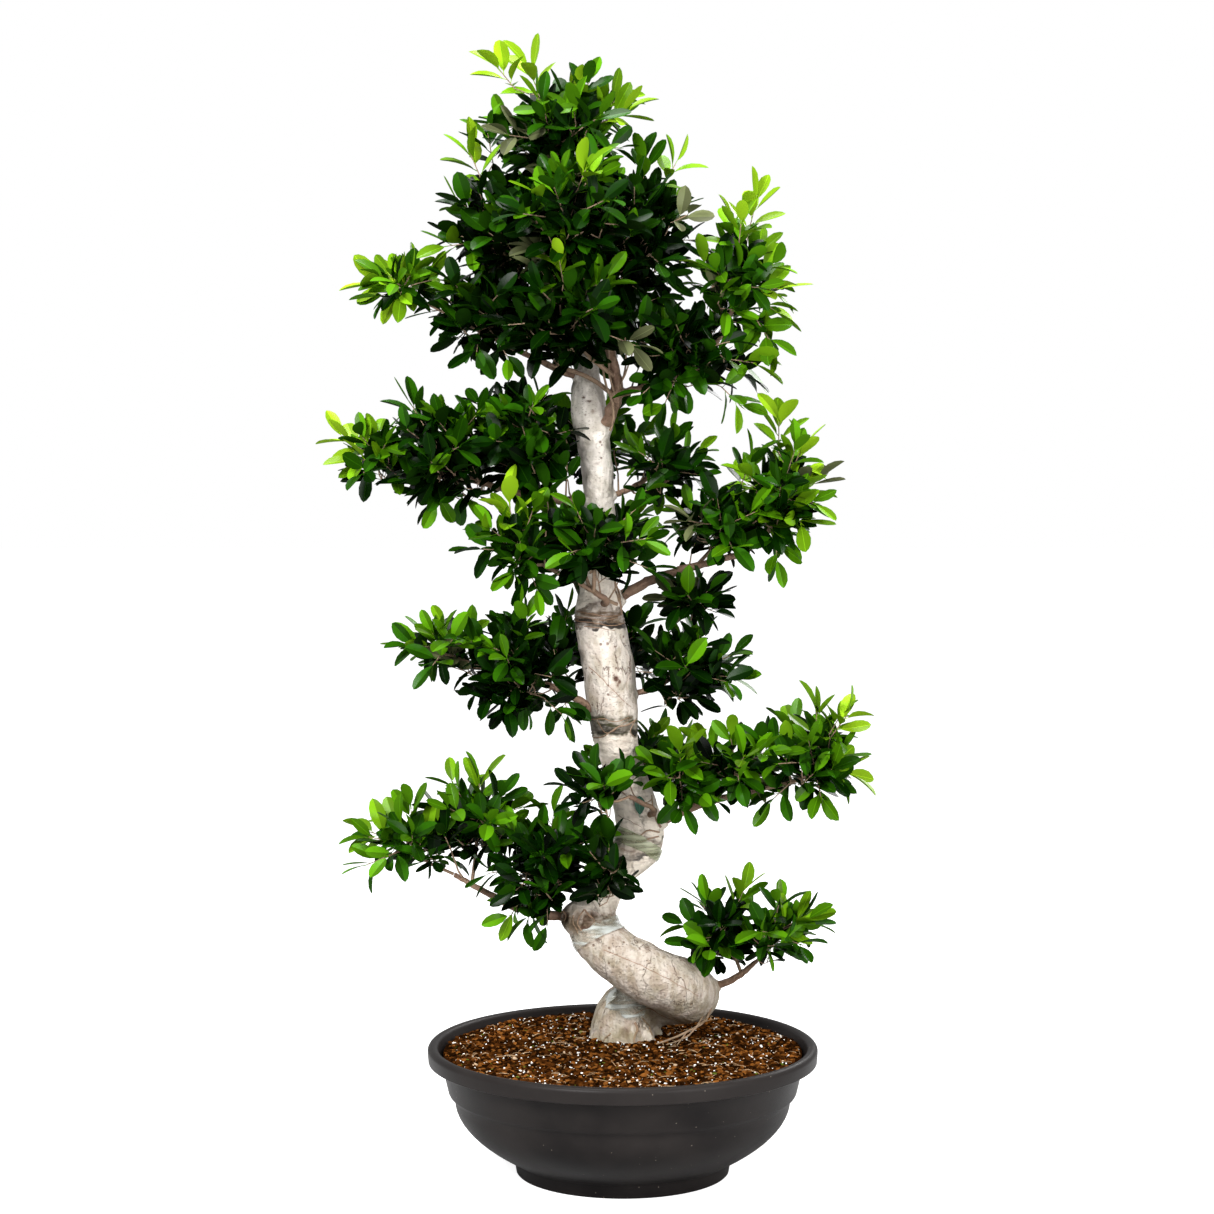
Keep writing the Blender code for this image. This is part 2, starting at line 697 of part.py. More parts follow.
def keep_main_body(mesh):
    """Keep the biggest closed body, which fills sealed hollows and drops scrap. True if it is whole."""
    shape = bmesh.new()
    shape.from_mesh(mesh)
    bmesh.ops.triangulate(shape, faces=shape.faces)
    bmesh.ops.remove_doubles(shape, verts=shape.verts, dist=0.0000005)
    bmesh.ops.dissolve_degenerate(shape, edges=shape.edges, dist=0.0000005)
    bmesh.ops.triangulate(shape, faces=shape.faces)
    bodies = islands(shape)
    main = max(bodies, key=island_volume)
    scrap = [face for body in bodies if body is not main for face in body]
    bmesh.ops.delete(shape, geom=scrap, context="FACES")
    whole = all(len(edge.link_faces) == 2 for edge in shape.edges)
    shape.to_mesh(mesh)
    shape.free()
    return whole


class Space:
    """The room of one mass: its ellipsoid, cut flat towards each mass that would overlap it."""

    def __init__(self, mass, masses):
        self.centre = Vector(mass.centre)
        self.half = Vector(mass.half)
        self.walls = []
        for other in masses:
            if other is mass:
                continue
            towards = Vector(other.centre) - self.centre
            distance = towards.length
            towards.normalize()
            mine = Vector(h * d for h, d in zip(mass.half, towards)).length
            theirs = Vector(h * d for h, d in zip(other.half, towards)).length
            if mine + theirs > distance:
                self.walls.append((towards, distance * mine / (mine + theirs) - MASS_CLEARANCE / 2))

    def holds(self, point):
        """Whether a point lies in this room."""
        offset = point - self.centre
        if sum((o / h) ** 2 for o, h in zip(offset, self.half)) > 1.0:
            return False
        return all(offset.dot(towards) < distance for towards, distance in self.walls)

    def reach(self, start, direction):
        """How far a line goes from a point inside before it leaves the room."""
        offset = start - self.centre
        scaled = Vector(o / h for o, h in zip(offset, self.half))
        step = Vector(d / h for d, h in zip(direction, self.half))
        a = step.length_squared
        b = scaled.dot(step)
        c = scaled.length_squared - 1.0
        room = (math.sqrt(max(b * b - a * c, 0.0)) - b) / a
        for towards, distance in self.walls:
            speed = direction.dot(towards)
            if speed > 0:
                room = min(room, (distance - offset.dot(towards)) / speed)
        return max(room, 0.0)


def leaf_shape(base, along, facing, length, start=0.0):
    """A leaf of eight faces: an eight-faced ball drawn out to foot, tip, two sides, top and underside."""
    side = along.cross(facing).normalized()
    up = side.cross(along).normalized()
    shape = bmesh.new()
    bmesh.ops.create_uvsphere(shape, u_segments=4, v_segments=2, radius=1.0)
    for vertex in shape.verts:
        x, y, z = vertex.co
        share = 1.0 if x > 0.5 else start if x < -0.5 else LEAF_WIDEST
        across = y * length * LEAF_WIDTH / 2
        lift = z * length * LEAF_THICKNESS / 2
        vertex.co = base + along * length * share + side * across + up * lift
    bmesh.ops.recalc_face_normals(shape, faces=shape.faces)
    mesh = bpy.data.meshes.new("leaf")
    shape.to_mesh(mesh)
    shape.free()
    return mesh


def twig_shape(start, stop, root_radius, tip_radius):
    """A straight three-sided twig."""
    along = stop - start
    turn = along.to_track_quat("Z", "Y").to_matrix().to_4x4()
    place = Matrix.Translation((start + stop) / 2) @ turn
    shape = bmesh.new()
    bmesh.ops.create_cone(
        shape,
        cap_ends=True,
        segments=TWIG_SIDES,
        radius1=root_radius,
        radius2=tip_radius,
        depth=along.length,
        matrix=place,
    )
    mesh = bpy.data.meshes.new("twig")
    shape.to_mesh(mesh)
    shape.free()
    return mesh


def core_shape(space, hub, share, blocked):
    """The dense middle of a mass: a faceted ball drawn to a share of the room, less towards a limb."""
    limb = (blocked.find_nearest(hub)[0] - hub).normalized()
    for shrink in CORE_SHRINKS:
        shape = bmesh.new()
        bmesh.ops.create_icosphere(shape, subdivisions=1, radius=1.0)
        for vertex in shape.verts:
            direction = vertex.co.normalized()
            room = space.reach(hub, direction) * share
            if direction.dot(limb) > CORE_LIMB_SIDE:
                room *= shrink
            hit = blocked.ray_cast(hub, direction)[3]
            if hit is not None:
                room = min(room, hit - CORE_LIMB_GAP)
            vertex.co = hub + direction * max(room, CORE_LEAST)
        mesh = bpy.data.meshes.new("core")
        shape.to_mesh(mesh)
        shape.free()
        if not tree_of([mesh]).overlap(blocked):
            return mesh
        bpy.data.meshes.remove(mesh)
    return None


def even_directions(count, spin):
    """Directions spread evenly over a sphere, turned by a spin."""
    golden = math.pi * (3 - math.sqrt(5))
    found = []
    for number in range(count):
        height = 1 - 2 * (number + 0.5) / count
        ring = math.sqrt(1 - height * height)
        turn = golden * number + spin
        found.append(Vector((ring * math.cos(turn), ring * math.sin(turn), height)))
    return found


def tilted(direction, angle, turn):
    """The direction leant by an angle, towards a side given by a turn about it."""
    side = direction.orthogonal().normalized()
    side.rotate(Matrix.Rotation(turn, 3, direction))
    return (direction * math.cos(angle) + side * math.sin(angle)).normalized()


def seat_of(mass, hub, limb):
    """Where a mass's stem starts, just clear of its limb, and the way it sets off."""
    line = limb.line
    if mass.along == 1.0:
        tip = line[-1].to_3d()
        out = (tip - line[-2].to_3d()).normalized()
        return tip + out * TOUCH_GAP, out
    if mass.limb == "trunk":
        middle = point_at_height(line, mass.along)
        index = min(range(len(line) - 1), key=lambda i: (line[i] - middle).length)
    else:
        place = mass.along * (len(line) - 1)
        index = int(place)
        middle = line[index].lerp(line[index + 1], place - index)
    axis = (line[index + 1] - line[index]).to_3d().normalized()
    middle = middle.to_3d()
    out = hub - middle
    out = (out - axis * out.dot(axis)).normalized()
    place, normal, _, _ = tree_of([limb.solid.data]).ray_cast(middle, out)
    return place + normal * TOUCH_GAP, normal


def stem_line(start, out, hub):
    """The stem's middle line, square off its limb and then on to the middle of the mass."""
    lead = start + out * STEM_LEAD
    bend = lead.lerp(hub, 0.5) + out * (hub - lead).length * STEM_BOW
    radii = (STEM_RADIUS, STEM_RADIUS, STEM_RADIUS * STEM_BEND_TAPER, TWIG_ROOT_RADIUS)
    return [Vector((*place, radius)) for place, radius in zip((start, lead, bend, hub), radii)]


class Growth:
    """The twigs and leaves of one mass, each kept in its room and clear of what is there."""

    def __init__(self, space, blocked, rng):
        self.space = space
        self.blocked = blocked
        self.rng = rng
        self.meshes = []
        self.blades = []

    def fits(self, mesh):
        """Whether a new piece stays in the room and touches no limb."""
        if not all(self.space.holds(vertex.co) for vertex in mesh.vertices):
            return False
        return not tree_of([mesh]).overlap(self.blocked)

    def add(self, mesh):
        """Keep a piece if it fits."""
        if self.fits(mesh):
            self.meshes.append(mesh)
            return True
        bpy.data.meshes.remove(mesh)
        return False

    def add_leaf(self, base, along, facing, length):
        """Keep a leaf if it fits and its blade, past the stalk, touches no other blade."""
        blade = leaf_shape(base, along, facing, length, LEAF_CLEAR_FROM)
        tree = tree_of([blade])
        bpy.data.meshes.remove(blade)
        if any(tree.overlap(other) for other in self.blades):
            return False
        if not self.add(leaf_shape(base, along, facing, length)):
            return False
        self.blades.append(tree)
        return True

    def leaf(self, base, direction, length):
        """One leaf, its upper side roughly to the sky, its foot sunk in the twig."""
        facing = Vector((0.0, 0.0, 1.0)) + direction * LEAF_FACES_ALONG
        facing += Vector([self.rng.uniform(-LEAF_ROLL, LEAF_ROLL) for _ in range(3)])
        if abs(direction.dot(facing.normalized())) > LEAF_FLAT_LIMIT:
            facing = direction.orthogonal()
        return self.add_leaf(base - direction * LEAF_SUNK, direction, facing, length)

    def fitted_leaf(self, foot, way, length):
        """A leaf no longer than the room ahead of it, or none where it would be too short."""
        room = self.space.reach(foot, way) * LEAF_SHARE_OF_ROOM + LEAF_SUNK
        if room < length * LEAF_LEAST_SHARE:
            return False
        return any(self.leaf(foot, way, min(length, room) * share) for share in LEAF_SIZES_TRIED)

    def spray(self, base, direction, length, count):
        """A terminal leaf and others about the twig's end, apart from one another."""
        made = int(self.fitted_leaf(base, direction, length))
        spin = self.rng.uniform(0, math.tau)
        for number in range(SPRAY_TRIES):
            if made >= count:
                break
            turn = spin + number * math.radians(GOLDEN_DEGREES)
            way = tilted(direction, math.radians(self.rng.uniform(*SPRAY_LEAN)), turn)
            size = length * self.rng.uniform(*SPRAY_SIZES)
            back = length * SPRAY_SPACING * (made + self.rng.uniform(0.0, SPRAY_SWAY))
            made += self.fitted_leaf(base - direction * back, way, size)

    def twig(self, start, way, leaf, root_radius, tip_radius, least):
        """A twig that ends where its last leaf just reaches the edge of the room, or None."""
        span = self.space.reach(start, way) * LEAF_SHARE_OF_ROOM - leaf + LEAF_SUNK
        span = max(span, least)
        end = start + way * span
        if self.add(twig_shape(start - way * TWIG_SUNK, end, root_radius, tip_radius)):
            return end
        return None


def twig_ways(mass, rng):
    """The directions of a mass's twigs, spread evenly, with one drawn to the tip it reaches for."""
    ways = even_directions(mass.twigs, rng.uniform(0, math.tau))
    if mass.points_to:
        wanted = Vector(mass.points_to).normalized()
        nearest = max(range(len(ways)), key=lambda i: ways[i].dot(wanted))
        ways[nearest] = wanted
    return ways


def grow_twigs(growth, mass, hub):
    """Twigs from the middle of the mass, every other one forked, each with its spray of leaves."""
    rng = growth.rng
    for number, way in enumerate(twig_ways(mass, rng)):
        end = growth.twig(hub, way, mass.leaf, TWIG_ROOT_RADIUS, TWIG_TIP_RADIUS, TWIG_LEAST)
        if end is None:
            continue
        growth.spray(end, way, mass.leaf, SPRAY_LEAVES - number % 2)
        if number % 2 or (end - hub).length < FORK_FROM_SPAN:
            continue
        fork = hub.lerp(end, FORK_AT)
        side = tilted(way, math.radians(FORK_LEAN), rng.uniform(0, math.tau))
        leaf = mass.leaf * FORK_LEAF_SHARE
        side_end = growth.twig(fork, side, leaf, TWIG_TIP_RADIUS, TWIG_TIP_RADIUS, FORK_LEAST)
        if side_end is not None:
            growth.spray(side_end, side, leaf, 1)


def clear_hub(mass, blocked):
    """The middle of a mass, moved off a limb that passes too near."""
    hub = Vector(mass.centre)
    wanted = min(HUB_CLEARANCE, min(mass.half) * HUB_SHARE_OF_ROOM)
    for _ in range(HUB_STEPS):
        place, _, _, distance = blocked.find_nearest(hub)
        if distance > wanted:
            break
        hub += (hub - place).normalized() * (wanted + HUB_STEP_EXTRA - distance)
    return hub


def build_mass(mass, stem, hub, blocked, collection, material):
    """One mass of foliage, fused into a single body, and the number of its leaves.

    Where a union fails, the next growth of the same rule is tried.
    """
    space = Space(mass, MASSES)
    core = core_shape(space, hub, mass.core, blocked)
    for attempt in range(GROWTH_ATTEMPTS):
        growth = Growth(space, blocked, random.Random(f"{GROWTH_SEED} {mass.name} {attempt}"))
        grow_twigs(growth, mass, hub)
        pieces = [stem.copy(), *growth.meshes]
        if core is not None:
            pieces.append(core.copy())
        body = joined(mass.name, pieces, collection, material)
        if keep_main_body(body.data) and len(body.data.polygons) < MASS_TRIANGLES:
            return body, len(growth.blades)
        bpy.data.objects.remove(body)
    raise ValueError(f"{mass.name} didn't fuse into one body")


def build_limbs(parts, cutters, bark, young_bark):
    """The trunk and every bough, each bough cut clear of the limbs it leaves."""
    trunk_cutter = as_cutter(joined("trunk_clearance", trunk_meshes(BOUGH_GAP), cutters, None))
    limbs = {"trunk": Limb(trunk_lines()[1], build_trunk(parts, cutters, bark), trunk_cutter)}
    for bough in BOUGHS:
        line = bough_line(bough, limbs[bough.parent].line)
        solid = add_object(bough.name, tube_mesh(bough.name, line, BOUGH_ROUNDING), parts, young_bark)
        for parent in dict.fromkeys((bough.parent, "trunk")):
            boolean(solid, limbs[parent].cutter, "DIFFERENCE")
        keep_main_body(solid.data)
        shade_round(solid, SHARP_BOUGH_DEGREES)
        name = bough.name + "_clearance"
        cutter = as_cutter(add_object(name, tube_mesh(name, line, BOUGH_ROUNDING, BOUGH_GAP), cutters))
        limbs[bough.name] = Limb(line, solid, cutter)
    return limbs


def kept_clear(limbs, wraps):
    """What foliage keeps off: every limb grown by a clearance, the trunk's roots and the wraps."""
    meshes = trunk_meshes(LIMB_CLEARANCE)
    for bough in BOUGHS:
        meshes.append(tube_mesh("clear", limbs[bough.name].line, BOUGH_ROUNDING, LIMB_CLEARANCE))
    meshes.append(limbs["trunk"].solid.data)
    meshes.extend(wrap.data for wrap in wraps)
    return meshes


def build_foliage(limbs, clearances, parts, green):
    """Every mass of foliage, clear of the limbs and of the other stems. Gives the number of leaves."""
    around = tree_of(clearances)
    hubs = {mass.name: clear_hub(mass, around) for mass in MASSES}
    stems = {}
    for mass in MASSES:
        start, out = seat_of(mass, hubs[mass.name], limbs[mass.limb])
        stems[mass.name] = tube_mesh("stem", stem_line(start, out, hubs[mass.name]), STEM_ROUNDING)
    leaves = 0
    for mass in MASSES:
        others = [mesh for name, mesh in stems.items() if name != mass.name]
        blocked = tree_of([*clearances, *others])
        leaves += build_mass(mass, stems[mass.name], hubs[mass.name], blocked, parts, green)[1]
    return leaves


def main():
    """Build every sub-part of the plant."""
    clear_scene()
    parts = new_collection("spiral_ficus_topiary")
    cutters = new_collection("cutters")
    plastic = finish("pot_plastic", (0.035, 0.034, 0.036), 0.45)
    mix = finish("potting_mix", (0.16, 0.075, 0.035), 0.95)
    bark = finish("bark", (0.62, 0.55, 0.45), 0.75)
    young_bark = finish("young_bark", (0.36, 0.24, 0.17), 0.75)
    film = finish("clear_film", (0.70, 0.74, 0.70), 0.25)
    green = finish("leaf_green", (0.055, 0.19, 0.020), 0.35)

    build_pot(parts, plastic)
    build_soil(parts, mix)
    limbs = build_limbs(parts, cutters, bark, young_bark)
    wraps = build_wraps(limbs["trunk"].line, cutters, parts, film)
    leaves = build_foliage(limbs, kept_clear(limbs, wraps), parts, green)
    print(f"{len(parts.objects)} parts, {leaves} leaves")


if __name__ == "__main__":
    main()
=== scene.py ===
"""Looks of the spiral ficus topiary: its bowl pot, potting mix, bark, twigs and leaves.

Metres, +Z up, +X to the right and -Y towards the front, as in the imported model. The plant's
limbs and rooms of foliage follow the same named sizes and the same rule of growth as the
solids do, carried on to finer twigs and to leaves of real size.
"""

import json
import logging
import math
import random
from collections.abc import Callable, Iterator, Sequence
from contextlib import contextmanager
from dataclasses import dataclass, field
from enum import Enum

import bpy
import numpy as np
from mathutils import Matrix, Vector, noise
from mathutils.bvhtree import BVHTree

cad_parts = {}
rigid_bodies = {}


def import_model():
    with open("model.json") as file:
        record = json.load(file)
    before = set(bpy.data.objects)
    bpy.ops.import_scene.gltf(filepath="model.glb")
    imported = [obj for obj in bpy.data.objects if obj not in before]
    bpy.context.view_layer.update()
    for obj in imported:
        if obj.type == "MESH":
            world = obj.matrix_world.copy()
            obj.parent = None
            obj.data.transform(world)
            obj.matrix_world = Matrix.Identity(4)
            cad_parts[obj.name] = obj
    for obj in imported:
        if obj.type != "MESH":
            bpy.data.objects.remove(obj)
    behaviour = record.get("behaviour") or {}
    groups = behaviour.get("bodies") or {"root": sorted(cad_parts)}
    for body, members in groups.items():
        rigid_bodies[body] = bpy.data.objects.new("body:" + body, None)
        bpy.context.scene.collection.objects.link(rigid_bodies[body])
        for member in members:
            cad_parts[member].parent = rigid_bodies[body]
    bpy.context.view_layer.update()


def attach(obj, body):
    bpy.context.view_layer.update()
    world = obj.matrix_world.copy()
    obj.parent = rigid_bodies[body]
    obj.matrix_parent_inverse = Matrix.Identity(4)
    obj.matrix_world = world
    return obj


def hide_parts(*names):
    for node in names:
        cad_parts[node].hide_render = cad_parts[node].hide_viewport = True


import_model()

log = logging.getLogger("spiral_ficus")

# Short names for types
Object = bpy.types.Object
Material = bpy.types.Material
Node = bpy.types.Node
Socket = bpy.types.NodeSocket
Tree = bpy.types.NodeTree

BODY = "root"
UP = Vector((0.0, 0.0, 1.0))
GOLDEN_ANGLE = math.radians(137.5)
SEED = 41


# Tools for objects


def deselect_all() -> None:
    """Clear the selection, which the frame's nodes are in to begin with."""
    for thing in bpy.context.selected_objects:
        thing.select_set(False)


def select_only(*things: Object) -> None:
    """Select some objects and make the first of them active.

    Args:
        things: The objects to select.
    """
    deselect_all()
    for thing in things:
        thing.select_set(True)
    bpy.context.view_layer.objects.active = things[0]


def active(name: str) -> Object:
    """Name the object that an operator has just added.

    Args:
        name: The name that it gets.

    Returns:
        The object.
    """
    made = bpy.context.view_layer.objects.active
    made.name = name
    made.data.name = name
    return made


def apply_modifiers(thing: Object) -> None:
    """Work every modifier of an object into its mesh, in their order.

    Args:
        thing: The object.
    """
    select_only(thing)
    for modifier in list(thing.modifiers):
        bpy.ops.object.modifier_apply(modifier=modifier.name)


def settle(thing: Object) -> None:
    """Work an object's place, turn and scale into its mesh."""
    select_only(thing)
    bpy.ops.object.transform_apply(location=True, rotation=True, scale=True)


@contextmanager
def editing(thing: Object) -> Iterator[None]:
    """Work on an object in edit mode, with all of its mesh selected at first.

    Args:
        thing: The object.
    """
    select_only(thing)
    bpy.ops.object.mode_set(mode="EDIT")
    bpy.ops.mesh.select_all(action="SELECT")
    yield
    bpy.ops.object.mode_set(mode="OBJECT")


def face_outwards() -> None:
    """Turn every face of the mesh that is being edited outwards."""
    bpy.ops.mesh.select_all(action="SELECT")
    bpy.ops.mesh.normals_make_consistent(inside=False)


def shade(thing: Object, degrees: float) -> None:
    """Shade an object smooth, with an edge kept where it turns by more than some degrees."""
    select_only(thing)
    bpy.ops.object.shade_smooth_by_angle(angle=math.radians(degrees))


def dress(piece: Object, materials: list[Material], nodes: list[str]) -> None:
    """Give a finished piece its materials, its body and the nodes that it stands for.

    Args:
        piece: The finished piece.
        materials: Its materials in the order of its faces' slots.
        nodes: The nodes that it replaces.
    """
    for material in materials:
        piece.data.materials.append(material)
    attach(piece, BODY)
    if nodes:
        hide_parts(*nodes)
    triangles = sum(len(face.vertices) - 2 for face in piece.data.polygons)
    log.info("%s: %d triangles", piece.name, triangles)


# Tools for shapes


def smooth_line(knots: list[Vector], steps: int) -> list[Vector]:
    """Draw a smooth line through some knots.

    Args:
        knots: Vectors of x, y, z and any further values, such as a radius.
        steps: The number of steps to each span.

    Returns:
        The points of the line, the knots included.
    """
    ends = [knots[0], *knots, knots[-1]]
    line = []
    for before, start, stop, after in zip(ends, ends[1:], ends[2:], ends[3:]):
        for step in range(steps):
            t = step / steps
            slope = (stop - before) * t
            curve = (2 * before - 5 * start + 4 * stop - after) * t**2
            twist = (3 * start - before - 3 * stop + after) * t**3
            line.append(0.5 * (2 * start + slope + curve + twist))
    line.append(knots[-1])
    return line


def place_along(line: list[Vector], share: float) -> tuple[Vector, Vector]:
    """Read a line off at a share of its points.

    Args:
        line: The line.
        share: 0 at its start and 1 at its end.

    Returns:
        The place there and the way the line runs, of length one.
    """
    number = share * (len(line) - 1)
    index = min(int(number), len(line) - 2)
    start, stop = line[index], line[index + 1]
    return start.lerp(stop, number - index).to_3d(), (stop - start).to_3d().normalized()


def waves_at(place: Vector, waves: tuple) -> float:
    """Add up waves of noise, each given by its scale and its depth in metres."""
    return sum(noise.noise(place * scale) * depth for scale, depth in waves)


def random_vector(rng: random.Random, most: float) -> Vector:
    """A vector whose three numbers each lie within a limit of 0."""
    return Vector([rng.uniform(-most, most) for _ in range(3)])


def tilted(direction: Vector, angle: float, turn: float) -> Vector:
    """Lean a direction over.

    Args:
        direction: The direction.
        angle: How far it leans, in radians.
        turn: Towards which side of it, in radians.

    Returns:
        The new direction, of length one.
    """
    side = direction.orthogonal().normalized()
    side.rotate(Matrix.Rotation(turn, 3, direction))
    return (direction * math.cos(angle) + side * math.sin(angle)).normalized()


def even_directions(count: int, spin: float) -> list[Vector]:
    """Spread directions evenly over a sphere.

    Args:
        count: How many.
        spin: A turn of them all about the Z axis, in radians.

    Returns:
        The directions.
    """
    golden = math.pi * (3 - math.sqrt(5))
    found = []
    for number in range(count):
        height = 1 - 2 * (number + 0.5) / count
        ring = math.sqrt(1 - height * height)
        turn = golden * number + spin
        found.append(Vector((ring * math.cos(turn), ring * math.sin(turn), height)))
    return found


def tube_object(name: str, line: list[Vector], rounding: int) -> Object:
    """A closed tube round a line of x, y, z and radius.

    Args:
        name: The object's name.
        line: The middle line.
        rounding: The tube has four sides and two more for each step of this.

    Returns:
        The tube, as a mesh object.
    """
    curve = bpy.data.curves.new(name, "CURVE")
    curve.dimensions = "3D"
    curve.bevel_depth = 1.0
    curve.bevel_resolution = rounding
    curve.use_fill_caps = True
    spline = curve.splines.new("POLY")
    spline.points.add(len(line) - 1)
    for point, knot in zip(spline.points, line):
        point.co = (*knot[:3], 1.0)
        point.radius = knot[3]
    made = bpy.data.objects.new(name, curve)
    bpy.context.scene.collection.objects.link(made)
    select_only(made)
    bpy.ops.object.convert(target="MESH")
    return bpy.context.view_layer.objects.active


def ball(name: str, centre: Vector, size: Vector) -> Object:
    """A round lump that other shapes are melted into.

    Args:
        name: The object's name.
        centre: Its middle.
        size: Its three radii.

    Returns:
        The lump.
    """
    deselect_all()
    bpy.ops.mesh.primitive_uv_sphere_add(segments=24, ring_count=12, radius=1.0, location=centre)
    made = active(name)
    made.scale = size
    settle(made)
    return made


def melted(name: str, things: list[Object], voxel: float, smoothing: int) -> Object:
    """Melt closed shapes into one skin.

    Args:
        name: The name of the new piece.
        things: The shapes, which are used up.
        voxel: The size of the skin's faces.
        smoothing: How many times the skin is smoothed.

    Returns:
        The piece.
    """
    select_only(*things)
    bpy.ops.object.join()
    made = active(name)
    skin = made.modifiers.new("Skin", "REMESH")
    skin.mode = "VOXEL"
    skin.voxel_size = voxel
    soften = made.modifiers.new("Soften", "SMOOTH")
    soften.factor = 0.5
    soften.iterations = smoothing
    apply_modifiers(made)
    return made


@dataclass
class Template:
    """A small shape that is repeated many times, all in triangles.

    Attributes:
        points: Its points, one row each.
        faces: Its triangles, one row each.
        slots: The material slot of each triangle.
    """

    points: np.ndarray
    faces: np.ndarray
    slots: np.ndarray


class Batch:
    """Gathers many small shapes and makes one mesh of them."""

    def __init__(self) -> None:
        """Start with nothing gathered."""
        self.points: list[np.ndarray] = []
        self.faces: list[np.ndarray] = []
        self.slots: list[np.ndarray] = []
        self.count = 0

    def add(self, points: np.ndarray, faces: np.ndarray, slots: np.ndarray) -> None:
        """Gather one shape.

        Args:
            points: Its points.
            faces: Its triangles.
            slots: The material slot of each triangle.
        """
        self.points.append(points)
        self.faces.append(faces + self.count)
        self.slots.append(slots)
        self.count += len(points)

    def place(self, template: Template, place: Vector, turn: Matrix, size: Vector, slot: int = 0) -> None:
        """Gather a copy of a template, stretched by a size, turned and placed, its slots raised by one."""
        points = template.points * np.array(size) @ np.array(turn.transposed()) + np.array(place)
        self.add(points, template.faces, template.slots + slot)

    def tube(self, line: list[Vector], radii: Sequence[float], sides: int, slot: int = 0) -> None:
        """Gather a closed tube with pointed ends.

        Args:
            line: Its middle line.
            radii: Its radius at each point of the line.
            sides: How many sides it has.
            slot: The slot of its faces.
        """
        rings = []
        side = (line[1] - line[0]).orthogonal().normalized()
        for number, place in enumerate(line):
            ahead = line[min(number + 1, len(line) - 1)] - line[max(number - 1, 0)]
            ahead.normalize()
            side = (side - ahead * side.dot(ahead)).normalized()
            other = ahead.cross(side)
            for step in range(sides):
                turn = math.tau * step / sides
                rings.append(place + (side * math.cos(turn) + other * math.sin(turn)) * radii[number])
        first, last = len(rings), len(rings) + 1
        rings.append(line[0])
        rings.append(line[-1])
        faces = []
        for step in range(sides):
            after = (step + 1) % sides
            faces.append((first, after, step))
            for ring in range(len(line) - 1):
                low, high = ring * sides, (ring + 1) * sides
                faces.append((low + step, low + after, high + after))
                faces.append((low + step, high + after, high + step))
            top = (len(line) - 1) * sides
            faces.append((last, top + step, top + after))
        self.add(np.array(rings), np.array(faces), np.full(len(faces), slot))

    def build(self, name: str, sharp: float) -> Object:
        """Make the mesh of all that was gathered.

        Args:
            name: The object's name.
            sharp: Edges that turn by more than this many degrees stay sharp.

        Returns:
            The object.
        """
        points = np.concatenate(self.points).astype(np.float32)
        faces = np.concatenate(self.faces).astype(np.int32)
        slots = np.concatenate(self.slots).astype(np.int32)
        mesh = bpy.data.meshes.new(name)
        mesh.vertices.add(len(points))
        mesh.vertices.foreach_set("co", points.ravel())
        mesh.loops.add(faces.size)
        mesh.loops.foreach_set("vertex_index", faces.ravel())
        mesh.polygons.add(len(faces))
        mesh.polygons.foreach_set("loop_start", np.arange(0, faces.size, 3, dtype=np.int32))
        mesh.polygons.foreach_set("material_index", slots)
        mesh.update(calc_edges=True)
        mesh.validate()
        mesh.shade_smooth()
        mesh.set_sharp_from_angle(angle=math.radians(sharp))
        made = bpy.data.objects.new(name, mesh)
        bpy.context.scene.collection.objects.link(made)
        return made


# Tools for materials

MIX_SHARE, MIX_LOW, MIX_HIGH, MIX_RESULT = 0, 6, 7, 2


def feed(tree: Tree, thing: Node, inputs: dict) -> None:
    """Link or set some inputs of a node.

    Args:
        tree: The tree that it is in.
        thing: The node.
        inputs: A value or a socket to link, by the name or number of the input.
    """
    for name, value in inputs.items():
        if isinstance(value, Socket):
            tree.links.new(value, thing.inputs[name])
        else:
            thing.inputs[name].default_value = value


def node(tree: Tree, kind: str, settings: dict | None = None, inputs: dict | None = None) -> Node:
    """Add a node, set it and link it.

    Args:
        tree: The tree that it goes in.
        kind: The node's type name.
        settings: Its own settings by name.
        inputs: A value or a socket to link, by the name or number of the input.

    Returns:
        The node.
    """
    made = tree.nodes.new(kind)
    for name, value in (settings or {}).items():
        setattr(made, name, value)
    feed(tree, made, inputs or {})
    return made


def mix(tree: Tree, share: Socket | float, low: Socket | tuple, high: Socket | tuple) -> Socket:
    """Mix two colours.

    Args:
        tree: The tree that the node goes in.
        share: The share of the second colour.
        low: The first colour.
        high: The second colour.

    Returns:
        The mixed colour.
    """
    made = node(tree, "ShaderNodeMix", {"data_type": "RGBA"}, {MIX_SHARE: share})
    for number, colour in ((MIX_LOW, low), (MIX_HIGH, high)):
        feed(tree, made, {number: colour if isinstance(colour, Socket) else (*colour, 1.0)})
    return made.outputs[MIX_RESULT]


def math_node(tree: Tree, operation: str, first: Socket | float, second: Socket | float = 0.0) -> Socket:
    """Work out a number from one or two others by an operation."""
    return node(tree, "ShaderNodeMath", {"operation": operation}, {0: first, 1: second}).outputs[0]


def times(tree: Tree, first: Socket | float, second: Socket | float) -> Socket:
    """Multiply two numbers."""
    return math_node(tree, "MULTIPLY", first, second)


def ranged(tree: Tree, value: Socket, start: Socket | float, stop: Socket | float,
           low: float = 0.0, high: float = 1.0) -> Socket:
    """Turn the span from start to stop into that from low to high, and stop at its ends."""
    inputs = {"Value": value, "From Min": start, "From Max": stop, "To Min": low, "To Max": high}
    return node(tree, "ShaderNodeMapRange", {}, inputs).outputs["Result"]


